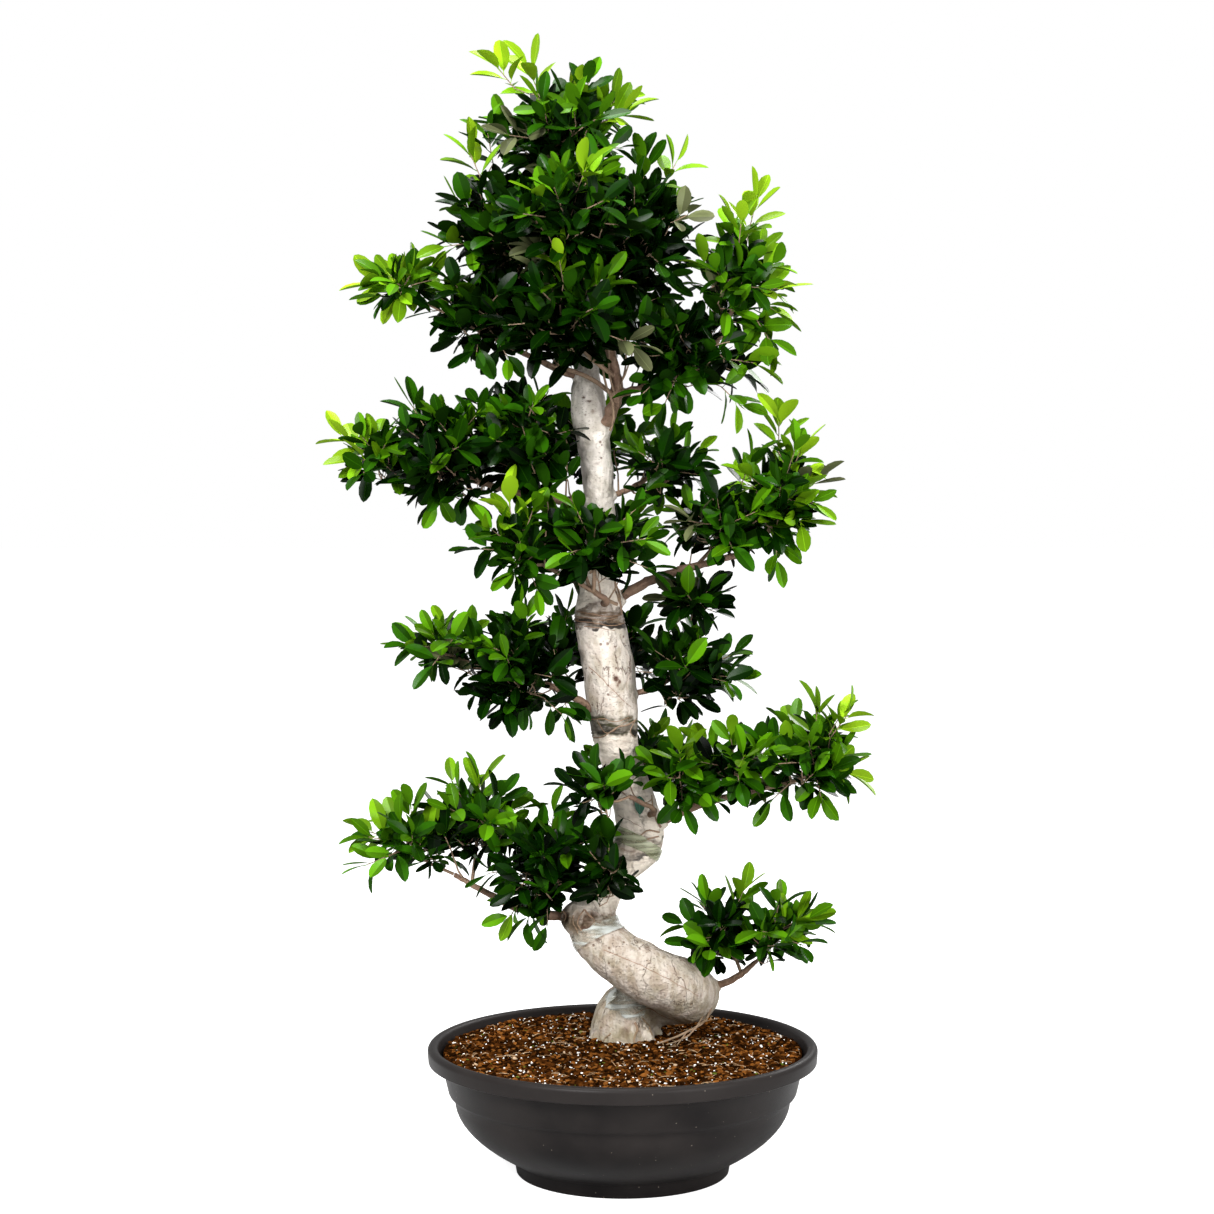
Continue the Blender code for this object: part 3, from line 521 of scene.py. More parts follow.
def cloud(tree: Tree, place: Socket, scale: Socket | float, detail: Socket | float = 2.0) -> Socket:
    """Smooth noise that runs from 0 to 1."""
    inputs = {"Vector": place, "Scale": scale, "Detail": detail}
    return node(tree, "ShaderNodeTexNoise", {}, inputs).outputs["Fac"]


def squeezed(tree: Tree, place: Socket, share: tuple) -> Socket:
    """A place with its three numbers scaled, to flatten or stretch what is drawn there."""
    return node(tree, "ShaderNodeMapping", {}, {"Vector": place, "Scale": share}).outputs[0]


def height_of(tree: Tree, place: Socket) -> Socket:
    """The height of a place."""
    return node(tree, "ShaderNodeSeparateXYZ", {}, {"Vector": place}).outputs["Z"]


def new_group(name: str, inputs: dict[str, float]) -> tuple[Tree, bpy.types.bpy_prop_collection]:
    """A shader node group with a Vector input, some number inputs and an output called Mask.

    Args:
        name: The group's name.
        inputs: Its number inputs with their usual values.

    Returns:
        The group's tree and the sockets of its inputs, by their names.
    """
    tree = bpy.data.node_groups.new(name, "ShaderNodeTree")
    tree.interface.new_socket("Vector", in_out="INPUT", socket_type="NodeSocketVector")
    for title, value in inputs.items():
        socket = tree.interface.new_socket(title, in_out="INPUT", socket_type="NodeSocketFloat")
        socket.default_value = value
    tree.interface.new_socket("Mask", in_out="OUTPUT", socket_type="NodeSocketFloat")
    return tree, tree.nodes.new("NodeGroupInput").outputs


def masked(tree: Tree, group: Tree, place: Socket, **values: float) -> Socket:
    """The mask of a node group at a place, with values for the group's other inputs."""
    return node(tree, "ShaderNodeGroup", {"node_tree": group}, {"Vector": place, **values}).outputs["Mask"]


def mottle_group() -> Tree:
    """Soft patches: a mask that runs from 0 to 1 over the surface."""
    tree, given = new_group("Mottle", {"Scale": 20.0, "Detail": 4.0, "Contrast": 0.25})
    spread = node(tree, "ShaderNodeMapRange", {"interpolation_type": "SMOOTHSTEP"}, {
        "Value": cloud(tree, given["Vector"], given["Scale"], given["Detail"]),
        "From Min": math_node(tree, "SUBTRACT", 0.5, given["Contrast"]),
        "From Max": math_node(tree, "ADD", 0.5, given["Contrast"]),
    })
    node(tree, "NodeGroupOutput", {}, {"Mask": spread.outputs["Result"]})
    return tree


def speck_group() -> Tree:
    """Scattered round dots: a mask that is 1 in a dot. Share says how many of the dots there are."""
    tree, given = new_group("Specks", {"Scale": 200.0, "Size": 0.25, "Share": 0.3})
    cells = node(tree, "ShaderNodeTexVoronoi", {}, {"Vector": given["Vector"], "Scale": given["Scale"]})
    dot = ranged(tree, cells.outputs["Distance"], given["Size"], times(tree, given["Size"], 0.6))
    parts = node(tree, "ShaderNodeSeparateColor", {}, {"Color": cells.outputs["Color"]})
    chosen = math_node(tree, "LESS_THAN", parts.outputs[0], given["Share"])
    node(tree, "NodeGroupOutput", {}, {"Mask": times(tree, dot, chosen)})
    return tree


def band_group() -> Tree:
    """A level band at a height, with a wavy edge: a mask that is 1 inside it."""
    tree, given = new_group("Band", {"Middle": 0.0, "Half": 0.01, "Soft": 0.004, "Wave": 0.004})
    away = math_node(tree, "SUBTRACT", cloud(tree, given["Vector"], 45.0), 0.5)
    sway = times(tree, times(tree, away, given["Wave"]), 4.0)
    height = math_node(tree, "ADD", height_of(tree, given["Vector"]), sway)
    off = math_node(tree, "ABSOLUTE", math_node(tree, "SUBTRACT", height, given["Middle"]))
    edge = math_node(tree, "ADD", given["Half"], given["Soft"])
    node(tree, "NodeGroupOutput", {}, {"Mask": ranged(tree, off, edge, given["Half"])})
    return tree


def crack_group() -> Tree:
    """Thin wandering lines, in places only: a mask that is 1 on a line."""
    tree, given = new_group("Cracks", {"Scale": 18.0, "Width": 0.012, "Share": 0.5})
    fine = node(tree, "ShaderNodeTexNoise", {}, {
        "Vector": given["Vector"],
        "Scale": given["Scale"],
        "Detail": 5.0,
        "Roughness": 0.55,
    })
    off = math_node(tree, "ABSOLUTE", math_node(tree, "SUBTRACT", fine.outputs["Fac"], 0.5))
    line = ranged(tree, off, given["Width"], times(tree, given["Width"], 0.25))
    wide = cloud(tree, given["Vector"], times(tree, given["Scale"], 0.8), 1.0)
    edge = math_node(tree, "SUBTRACT", 1.0, given["Share"])
    where = ranged(tree, wide, edge, math_node(tree, "ADD", edge, 0.08))
    node(tree, "NodeGroupOutput", {}, {"Mask": times(tree, line, where)})
    return tree


@dataclass(frozen=True)
class Effects:
    """The node groups that several materials share."""

    mottle: Tree
    specks: Tree
    band: Tree
    cracks: Tree


def new_material(name: str) -> tuple[Material, Tree, Node, Socket]:
    """A material with its Principled shader and its place on the object.

    Args:
        name: The material's name.

    Returns:
        The material, its tree, its shader and the socket of its Object coordinates.
    """
    material = bpy.data.materials.new(name)
    material.use_nodes = True
    tree = material.node_tree
    place = node(tree, "ShaderNodeTexCoord")
    return material, tree, tree.nodes["Principled BSDF"], place.outputs["Object"]


def link_bump(tree: Tree, shader: Node, height: Socket, strength: float, depth: float) -> None:
    """Raise a surface by a height from 0 to 1, where 1 is a depth in metres."""
    bump = node(tree, "ShaderNodeBump", {}, {"Height": height, "Strength": strength, "Distance": depth})
    tree.links.new(bump.outputs["Normal"], shader.inputs["Normal"])


# Finishes


@dataclass(frozen=True)
class PotFinish:
    """Charcoal moulded plastic: satin, finely grained, with a little dust, paler worn patches and a lip
    painted paler as a sheen.
    """

    colour: tuple = (0.0052, 0.0042, 0.0044)
    worn_and_sheen: tuple = (0.0190, 0.0160, 0.0150)
    dust: tuple = (0.20, 0.17, 0.14)
    lip_from: float = 0.172
    lip_blend: float = 0.004
    lip_sheen: float = 0.55
    smoothest: float = 0.35
    roughest: float = 0.48
    specular: float = 0.10

    def build(self, effects: Effects) -> Material:
        """Make the material.

        Args:
            effects: The shared node groups.

        Returns:
            The material.
        """
        material, tree, shader, place = new_material("pot_plastic_finish")
        patches = masked(tree, effects.mottle, place, Scale=9.0, Contrast=0.30)
        colour = mix(tree, patches, self.colour, self.worn_and_sheen)
        # Painted sheen: the lip is lightened towards the worn colour, as a soft highlight
        lip = ranged(tree, height_of(tree, place), self.lip_from, self.lip_from + self.lip_blend)
        colour = mix(tree, times(tree, lip, self.lip_sheen), colour, self.worn_and_sheen)
        specks = masked(tree, effects.specks, place, Scale=170.0, Size=0.16, Share=0.05)
        feed(tree, shader, {
            "Base Color": mix(tree, specks, colour, self.dust),
            "Roughness": ranged(tree, patches, 0.0, 1.0, self.smoothest, self.roughest),
            "Specular IOR Level": self.specular,
        })
        link_bump(tree, shader, cloud(tree, place, 900.0, 3.0), 0.25, 0.0004)
        return material


@dataclass(frozen=True)
class GrainFinish:
    """A rough natural grain in two colours, for potting mix, crumbs, stones and fibres."""

    name: str
    colour: tuple
    second: tuple
    scale: float = 160.0
    wide_share: float = 0.35
    roughness: float = 0.9
    relief: float = 0.0012

    def build(self, effects: Effects) -> Material:
        """Make the material.

        Args:
            effects: The shared node groups.

        Returns:
            The material.
        """
        material, tree, shader, place = new_material(self.name)
        patches = masked(tree, effects.mottle, place, Scale=self.scale, Contrast=0.22)
        wide = masked(tree, effects.mottle, place, Scale=self.scale / 9, Contrast=0.20)
        share = times(tree, patches, 1.0 - self.wide_share)
        share = math_node(tree, "ADD", share, times(tree, wide, self.wide_share))
        feed(tree, shader, {
            "Base Color": mix(tree, share, self.colour, self.second),
            "Roughness": self.roughness,
            "Specular IOR Level": 0.0,
        })
        link_bump(tree, shader, patches, 0.6, self.relief)
        return material


# The darkness of the trunk's bark at each vertex: cracks and scars, and painted shade by the wraps and in
# creases
MARKS = "marks"


class BarkKind(Enum):
    """The barks of the plant: the trunk's, the boughs' and the twigs'."""

    OLD = "old"
    YOUNG = "young"
    TWIG = "twig"


@dataclass(frozen=True)
class BarkFinish:
    """Bark in patches, with pale and dull blotches, pores, brown spots, fine cracks, marks and level bands,
    among them painted shade and painted light.

    Attributes:
        kind: Which bark it is.
        colour: Its first colour, and second its other one.
        top: The colour that it turns to from the height top_from up to top_to: on the old bark, partly its
            own paler tone and partly painted light where the tiers shade it.
        spot: The colour of its pores, spots and cracks.
        stain: The colour of its blotches, and of the patches that grow towards the bottom of the trunk.
        hollow_and_shadow: The colour of the deepest marks: the darkest scars, and painted shadow by the
            wraps' edges and in creases.
        blotches: How strongly the blotches show.
        bands: The middle, half the height, the strength and the colour of each band.
    """

    kind: BarkKind
    colour: tuple
    second: tuple
    top: tuple
    top_from: float
    top_to: float
    spot: tuple
    stain: tuple
    hollow_and_shadow: tuple = (0.062, 0.024, 0.013)
    blotches: float = 0.34
    bands: tuple = ()
    low_tint_from: float = 0.42
    low_tint_to: float = 0.19
    low_tint: float = 0.62

    def build(self, effects: Effects) -> Material:
        """Make the material.

        Args:
            effects: The shared node groups.

        Returns:
            The material.
        """
        material, tree, shader, place = new_material(f"{self.kind.value}_bark_finish")
        height = height_of(tree, place)
        flat = squeezed(tree, place, (1.0, 1.0, 3.4))
        tall = squeezed(tree, place, (1.0, 1.0, 0.35))
        fine = masked(tree, effects.mottle, place, Scale=95.0, Contrast=0.25)
        pores = masked(tree, effects.specks, flat, Scale=190.0, Size=0.30, Share=0.40)
        spots = masked(tree, effects.specks, place, Scale=85.0, Size=0.22, Share=0.20)
        crack = masked(tree, effects.cracks, tall, Scale=26.0, Width=0.010, Share=0.52)
        marks = node(tree, "ShaderNodeAttribute", {"attribute_name": MARKS}).outputs["Fac"]
        layers = (
            (masked(tree, effects.mottle, place, Scale=16.0, Contrast=0.22), 1.0, self.second),
            # Towards the top: on the old bark partly its own paler tone, partly painted light
            (ranged(tree, height, self.top_from, self.top_to), 1.0, self.top),
            (fine, 0.20, self.spot),
            (masked(tree, effects.mottle, place, Scale=46.0, Contrast=0.07), self.blotches, self.stain),
            (masked(tree, effects.mottle, tall, Scale=74.0, Contrast=0.10), self.blotches, self.top),
            (pores, 0.50, self.spot),
            (spots, 0.75, self.spot),
            (crack, 0.60, self.spot),
            # Marks: cracks and scars, and painted shade by the wraps' edges and in creases
            (marks, 0.85, self.spot),
            (ranged(tree, marks, 0.50, 1.0), 1.0, self.hollow_and_shadow),
        )
        colour = self.colour
        for mask, share, tint in layers:
            colour = mix(tree, times(tree, mask, share), colour, tint)
        colour = self.banded(tree, effects, place, flat, colour)
        foot = masked(tree, effects.mottle, place, Scale=28.0, Contrast=0.12)
        low = times(tree, ranged(tree, height, self.low_tint_from, self.low_tint_to), self.low_tint)
        relief = cloud(tree, place, 150.0, 6.0)
        for mask, depth in ((crack, 0.9), (pores, 0.45), (spots, 0.35)):
            relief = math_node(tree, "SUBTRACT", relief, times(tree, mask, depth))
        feed(tree, shader, {
            "Base Color": mix(tree, times(tree, foot, low), colour, self.stain),
            "Roughness": ranged(tree, fine, 0.0, 1.0, 0.55, 0.78),
            "Specular IOR Level": 0.35,
        })
        link_bump(tree, shader, relief, 0.95, 0.0042)
        return material

    def banded(self, tree: Tree, effects: Effects, place: Socket, flat: Socket, colour: Socket) -> Socket:
        """Lay the streaky bands over the bark, the pale ones being painted light.

        Args:
            tree: The material's tree.
            effects: The shared node groups.
            place: The place on the object.
            flat: The same, with its height stretched.
            colour: The bark's colour.

        Returns:
            The colour with the bands.
        """
        streaks = masked(tree, effects.mottle, flat, Scale=34.0, Contrast=0.08)
        patchy = math_node(tree, "ADD", times(tree, streaks, 0.50), 0.50)
        for middle, half, share, tint in self.bands:
            band = masked(tree, effects.band, place, Middle=middle, Half=half, Soft=half * 0.4, Wave=0.010)
            colour = mix(tree, times(tree, times(tree, band, patchy), share), colour, tint)
        return colour


@dataclass(frozen=True)
class FilmFinish:
    """Plastic film in streaks of two colours, see-through in the first and cloudy in the second."""

    name: str
    clear: tuple
    milky: tuple
    cover_least: float
    cover_most: float
    roughness: float = 0.34
    specular: float = 0.30

    def build(self, effects: Effects) -> Material:
        """Make the material.

        Args:
            effects: The shared node groups.

        Returns:
            The material.
        """
        material, tree, shader, place = new_material(self.name)
        flat = squeezed(tree, place, (0.40, 0.40, 3.2))
        creases = masked(tree, effects.mottle, flat, Scale=44.0, Contrast=0.16)
        feed(tree, shader, {
            "Base Color": mix(tree, creases, self.clear, self.milky),
            "Alpha": ranged(tree, creases, 0.0, 1.0, self.cover_least, self.cover_most),
            "Roughness": self.roughness,
            "Specular IOR Level": self.specular,
        })
        link_bump(tree, shader, creases, 0.5, 0.0010)
        return material


CLEAR_FILM = FilmFinish("clear_film_finish", (0.36, 0.36, 0.28), (0.66, 0.69, 0.66), 0.10, 0.60)
OLD_FILM = FilmFinish("old_film_finish", (0.20, 0.21, 0.11), (0.50, 0.52, 0.36), 0.34, 0.66)


class Tone(Enum):
    """The greens of a leaf's upper side: six from the darkest, which paint the shade deep inside the foliage,
    to new growth, and two dull ones.
    """

    DEEP = (0.0004, 0.0030, 0.0001)
    DARK = (0.0016, 0.0112, 0.0002)
    MID = (0.0095, 0.0445, 0.0007)
    BRIGHT = (0.0420, 0.1240, 0.0016)
    FRESH = (0.0860, 0.1880, 0.0034)
    LIME = (0.1600, 0.2850, 0.0070)
    OLIVE = (0.0650, 0.0720, 0.0320)
    DUSTY = (0.0400, 0.1050, 0.0700)


LEAF_SLOTS = 4


@dataclass(frozen=True)
class LeafFinish:
    """A waxy leaf of one tone, in plain colours: its upper side, midrib, underside and a lit half of painted
    light.
    """

    tone: Tone
    roughness: float = 0.24
    specular: float = 0.055
    under_roughness: float = 0.6
    under_specular: float = 0.02

    def colours(self) -> dict[str, tuple]:
        """The colours of the leaf's four kinds of face, by their names."""
        top = Vector(self.tone.value)
        rib = top * 1.80 + Vector((0.004, 0.010, 0.0006))
        under = top * 1.10 + Vector((0.003, 0.008, 0.0006))
        # The lit half is painted light: a lighter copy of the upper side, as if the leaf were lit from one
        # side
        light = top * 1.85 + Vector((0.001, 0.004, 0.0002))
        return {"top": tuple(top), "rib": tuple(rib), "under": tuple(under), "light": tuple(light)}

    def build(self) -> list[Material]:
        """Make the four materials.

        Returns:
            The materials, in the order of a leaf's slots.
        """
        made = []
        for side, colour in self.colours().items():
            material = bpy.data.materials.new(f"leaf_{self.tone.name.lower()}_{side}")
            material.use_nodes = True
            tree = material.node_tree
            dull = side == "under"
            feed(tree, tree.nodes["Principled BSDF"], {
                "Base Color": (*colour, 1.0),
                "Roughness": self.under_roughness if dull else self.roughness,
                "Specular IOR Level": self.under_specular if dull else self.specular,
            })
            made.append(material)
        return made


# The pot


Ring = tuple[float, float]


def rounded(edge: Ring, *offsets: Ring) -> list[Ring]:
    """Rings by an edge of the pot, each as far out of it and over it as an offset says."""
    return [(edge[0] + out, edge[1] + up) for out, up in offsets]


@dataclass
class Pot:
    """The bowl pot: a rolled lip, a straight upper wall, a ledge, and a bowl drawn in to a round foot."""

    height: float = 0.200
    radius: float = 0.3032
    lip_height: float = 0.026
    lip_inner: float = 0.2862
    wall_top: float = 0.2822
    ledge_top: Ring = (0.2710, 0.1275)
    ledge_foot: Ring = (0.2610, 0.116)
    foot_radius: float = 0.1695
    foot_height: float = 0.021
    foot_taper: float = 0.005
    foot_edge: float = 0.0012
    base_width: float = 0.012
    floor: float = 0.006
    wall: float = 0.004
    segments: int = 192
    lip_steps: int = 10
    bowl_steps: int = 12
    inner_steps: tuple = (0.62, 0.3, 0.0)

    def bowl(self, share: float, inwards: float = 0.0) -> Ring:
        """A ring of the bowl, on a parabola from its foot at share 0 to its ledge at share 1.

        Args:
            share: How far up the ring lies.
            inwards: How far inside the outer side it lies.

        Returns:
            The ring.
        """
        radius, top = self.ledge_foot
        height = self.foot_height + (top - self.foot_height) * share
        drop = (top - height) / (top - self.foot_height)
        return radius - (radius - self.foot_radius) * drop**2 - inwards, height

    def outside(self) -> list[Ring]:
        """The radii and heights of the rings, from the middle of the base up and over to the inner floor."""
        under = self.height - self.lip_height
        base = (self.foot_radius - self.foot_taper, 0.0)
        rings = rounded(base, (-self.base_width, 0.0), (0.0, 0.0), (self.foot_edge, self.foot_edge))
        rings += rounded((self.foot_radius, self.foot_height), (-0.0008, -0.0015))
        rings += [self.bowl(step / self.bowl_steps) for step in range(self.bowl_steps + 1)]
        rings += rounded(self.ledge_foot, (0.0035, 0.0065))
        rings += rounded(self.ledge_top, (-0.0012, -0.0015), (0.0, 0.0008))
        rings += rounded((self.wall_top, under), (-0.0012, -0.0035), (0.0006, -0.0006))
        rings += rounded((self.radius, under), (-0.0035, 0.0002), (-0.0012, 0.0016))
        roll = (self.radius - self.lip_inner) / 2
        for step in range(self.lip_steps + 1):
            turn = math.pi * step / self.lip_steps
            rings.append((
                self.lip_inner + roll + roll * math.cos(turn),
                self.height - roll + roll * math.sin(turn),
            ))
        rings += rounded((self.wall_top, under), (-self.wall, 0.0))
        rings += rounded(self.ledge_foot, (-self.wall, 0.0))
        rings += [self.bowl(share, self.wall) for share in self.inner_steps]
        rings += rounded((self.foot_radius, self.floor), (-self.wall, 0.0))
        return rings

    def build(self, effects: Effects) -> None:
        """Turn the pot ring by ring, close it and dress it.

        Args:
            effects: The shared node groups.
        """
        rings = self.outside()
        deselect_all()
        radius, height = rings[0]
        bpy.ops.mesh.primitive_circle_add(
            vertices=self.segments, radius=radius, fill_type="NGON", location=(0.0, 0.0, height)
        )
        pot = active("bowl_pot")
        settle(pot)
        with editing(pot):
            bpy.ops.mesh.delete(type="ONLY_FACE")
            bpy.ops.mesh.select_all(action="SELECT")
            for before, after in zip(rings, rings[1:]):
                share = after[0] / before[0]
                rise = (0.0, 0.0, after[1] - before[1])
                bpy.ops.mesh.extrude_edges_move(TRANSFORM_OT_translate={"value": rise})
                bpy.ops.transform.resize(value=(share, share, 1.0), center_override=(0.0, 0.0, after[1]))
            bpy.ops.mesh.edge_face_add()
        with editing(pot):
            bpy.ops.mesh.select_all(action="DESELECT")
            bpy.ops.mesh.select_non_manifold()
            bpy.ops.mesh.edge_face_add()
            face_outwards()
        shade(pot, 34)
        dress(pot, [PotFinish().build(effects)], ["pot"])


# The potting mix


class Grit(Enum):
    """The kinds of grain that lie on the potting mix."""

    DARK_CRUMB = 0
    BROWN_CRUMB = 1
    ORANGE_CRUMB = 2
    PERLITE_BEAD = 3
    PEBBLE = 4
    MOSS_TUFT = 5


@dataclass(frozen=True)
class GritKind:
    """One kind of grain on the mix.

    Attributes:
        count: How many there are.
        least: The least radius, and most the greatest.
        flat: The height as a share of the radius.
        finish: The finish.
        lift: How far the middle lies over the mix, as a share of the height.
    """

    count: int
    least: float
    most: float
    flat: float
    finish: GrainFinish
    lift: float = 0.3


CRUMB_DARK = GrainFinish("crumb_dark", (0.0050, 0.0018, 0.0005), (0.0180, 0.0065, 0.0016))
CRUMB_BROWN = GrainFinish("crumb_brown", (0.0280, 0.0085, 0.0018), (0.0780, 0.0250, 0.0045))
CRUMB_ORANGE = GrainFinish("crumb_orange", (0.1000, 0.0320, 0.0050), (0.2300, 0.0850, 0.0180))
PERLITE = GrainFinish("perlite", (0.78, 0.76, 0.72), (0.92, 0.91, 0.88), 300.0)
PEBBLE = GrainFinish("pebble", (0.34, 0.22, 0.13), (0.58, 0.43, 0.29), 120.0)
MOSS_TUFT = GrainFinish("moss", (0.050, 0.078, 0.008), (0.130, 0.160, 0.022))
GRITS = {
    Grit.DARK_CRUMB: GritKind(2300, 0.0022, 0.0065, 0.65, CRUMB_DARK),
    Grit.BROWN_CRUMB: GritKind(2500, 0.0022, 0.0072, 0.60, CRUMB_BROWN),
    Grit.ORANGE_CRUMB: GritKind(1500, 0.0026, 0.0078, 0.50, CRUMB_ORANGE),
    Grit.PERLITE_BEAD: GritKind(640, 0.0014, 0.0028, 0.85, PERLITE, 0.9),
    Grit.PEBBLE: GritKind(150, 0.0022, 0.0052, 0.70, PEBBLE),
    Grit.MOSS_TUFT: GritKind(130, 0.0020, 0.0052, 0.45, MOSS_TUFT),
}
FIBRE_FINISH = GrainFinish("fibre", (0.26, 0.16, 0.085), (0.45, 0.31, 0.18), 220.0)
MIX_FINISH = GrainFinish("potting_mix_finish", (0.006, 0.0022, 0.0006), (0.050, 0.0155, 0.0032), 190.0)


@dataclass
class Soil:
    """The potting mix: a rough surface under the lip, with crumbs, perlite, pebbles and fibres on it."""

    top: float = 0.190
    radius: float = 0.2784
    depth: float = 0.012
    rings: int = 52
    segments: int = 150
    mound: float = 0.0035
    fibres: int = 260
    trunk_centre: tuple = (0.0, 0.085)
    trunk_radius: float = 0.050
    sink: float = 0.0022
    rough: tuple = ((0.3, 26.0, 0.0024), (1.7, 95.0, 0.0013))
    fibre_steps: int = 4

    def level(self, x: float, y: float) -> float:
        """The height of the surface at a place, in metres over the level of the mix."""
        away = math.hypot(x, y)
        edge = max(0.0, 1.0 - away / self.radius)
        rough = sum(noise.noise(Vector((x, y, layer)) * scale) * depth for layer, scale, depth in self.rough)
        return self.mound * edge**0.6 + rough - self.sink

    def build(self, effects: Effects) -> None:
        """Make the surface and strew the grains.

        Args:
            effects: The shared node groups.
        """
        rng = random.Random(f"{SEED} soil")
        dress(self.surface(), [MIX_FINISH.build(effects)], ["soil"])
        for grit, kind in GRITS.items():
            dress(self.strewn(grit, kind, rng), [kind.finish.build(effects)], [])
        dress(self.strewn_fibres(rng), [FIBRE_FINISH.build(effects)], [])

    def surface(self) -> Object:
        """A thick round slab, its top in rings that follow the rough level."""
        deselect_all()
        foot = (0.0, 0.0, self.top - self.depth)
        bpy.ops.mesh.primitive_circle_add(
            vertices=self.segments, radius=self.radius, fill_type="NGON", location=foot
        )
        slab = active("potting_mix_surface")
        settle(slab)
        with editing(slab):
            bpy.ops.mesh.extrude_region_move(TRANSFORM_OT_translate={"value": (0.0, 0.0, self.depth)})
            for _ in range(self.rings - 1):
                bpy.ops.mesh.inset(thickness=self.radius / self.rings, use_even_offset=False)
            face_outwards()
        for vertex in slab.data.vertices:
            if vertex.co.z > self.top - self.depth / 2:
                vertex.co.z += self.level(vertex.co.x, vertex.co.y)
        shade(slab, 180)
        return slab

    def spot(self, rng: random.Random) -> tuple[float, float]:
        """A place on the surface, clear of the trunk."""
        while True:
            away = math.sqrt(rng.random()) * (self.radius - 0.003)
            turn = rng.uniform(0.0, math.tau)
            x, y = away * math.cos(turn), away * math.sin(turn)
            if math.hypot(x - self.trunk_centre[0], y - self.trunk_centre[1]) > self.trunk_radius:
                return x, y

    def strewn(self, grit: Grit, kind: GritKind, rng: random.Random) -> Object:
        """One kind of grain, strewn over the surface.

        Args:
            grit: The kind.
            kind: Its numbers and sizes.
            rng: The source of chance.

        Returns:
            The piece.
        """
        grains = [grain_template(rng) for _ in range(6)]
        batch = Batch()
        for _ in range(kind.count):
            x, y = self.spot(rng)
            size = rng.uniform(kind.least, kind.most) * rng.uniform(0.75, 1.0)
            turn = Matrix.Rotation(rng.uniform(0, math.tau), 3, "Z")
            turn = turn @ Matrix.Rotation(rng.uniform(-0.6, 0.6), 3, "X")
            stretch = Vector((size, size * rng.uniform(0.6, 1.0), size * kind.flat * rng.uniform(0.7, 1.0)))
            place = Vector((x, y, self.top + self.level(x, y) + size * kind.flat * kind.lift))
            batch.place(rng.choice(grains), place, turn, stretch)
        return batch.build(f"{grit.name.lower()}s", 40)

    def strewn_fibres(self, rng: random.Random) -> Object:
        """Thin curved fibres and rootlets that lie on the mix."""
        batch = Batch()
        steps = self.fibre_steps
        for _ in range(self.fibres):
            x, y = self.spot(rng)
            turn = rng.uniform(0, math.tau)
            bend = rng.uniform(-1.2, 1.2)
            length = rng.uniform(0.008, 0.026)
            line = []
            for step in range(steps + 1):
                x += math.cos(turn) * length / steps
                y += math.sin(turn) * length / steps
                turn += bend / steps
                if math.hypot(x, y) > self.radius - 0.002:
                    break
                lift = 0.0016 + 0.0018 * math.sin(math.pi * step / steps)
                line.append(Vector((x, y, self.top + self.level(x, y) + lift)))
            if len(line) > 2:
                thick = rng.uniform(0.0003, 0.0008)
                batch.tube(line, [thick] * (len(line) - 1) + [thick * 0.4], 3)
        return batch.build("fibres", 60)


def grain_template(rng: random.Random) -> Template:
    """A lumpy grain of about radius one, made from a small ball.

    Args:
        rng: The source of chance.

    Returns:
        The grain.
    """
    deselect_all()
    bpy.ops.mesh.primitive_ico_sphere_add(subdivisions=1, radius=1.0)
    lump = active("grain")
    points = np.array([vertex.co * rng.uniform(0.62, 1.15) for vertex in lump.data.vertices])
    faces = np.array([tuple(face.vertices) for face in lump.data.polygons])
    bpy.data.objects.remove(lump, do_unlink=True)
    return Template(points, faces, np.zeros(len(faces), dtype=int))


# Limbs


@dataclass(frozen=True)
class Station:
    """One place on the trunk's middle line, with the trunk's radius there."""

    name: str
    x: float
    y: float
    z: float
    radius: float

    def knot(self) -> Vector:
        """The station as a vector of x, y, z and radius."""
        return Vector((self.x, self.y, self.z, self.radius))


ELBOW = Station("elbow", 0.11, 0.07, 0.262, 0.0445)
TRUNK_FOOT = [
    Station("foot", 0.0, 0.085, 0.175, 0.053),
    Station("stub", 0.0, 0.09, 0.214, 0.048),
    Station("neck", 0.024, 0.108, 0.236, 0.046),
    Station("back", 0.062, 0.113, 0.246, 0.045),
    ELBOW,
]
TRUNK_RISE = [
    ELBOW,
    Station("turn", 0.091, 0.032, 0.279, 0.046),
    Station("ramp", 0.033, 0.008, 0.309, 0.0452),
    Station("low wrap", -0.036, 0.01, 0.359, 0.0396),
    Station("burl", -0.046, 0.026, 0.396, 0.037),
    Station("bend", -0.034, 0.045, 0.43, 0.0335),
    Station("slope", -0.009, 0.062, 0.462, 0.031),
    Station("mid wrap", 0.025, 0.075, 0.499, 0.0378),
    Station("hip", 0.023, 0.075, 0.548, 0.0354),
    Station("waist", 0.004, 0.065, 0.619, 0.031),
    Station("moss band", -0.011, 0.055, 0.675, 0.036),
    Station("belly", -0.02, 0.05, 0.765, 0.0405),
    Station("old wrap", -0.037, 0.045, 0.86, 0.0385),
    Station("shoulder", -0.04, 0.045, 0.905, 0.031),
    Station("mid", -0.037, 0.045, 1.06, 0.0235),
    Station("graft", -0.054, 0.045, 1.19, 0.0275),
    Station("thin", -0.052, 0.045, 1.25, 0.0165),
    Station("tip", -0.044, 0.045, 1.32, 0.01),
]


@dataclass(frozen=True)
class Bough:
    """A tapering limb: it leaves its parent at a height, passes its bends and ends at its tip."""

    name: str
    parent: str
    height: float
    bends: tuple
    tip: tuple
    root_radius: float
    tip_radius: float


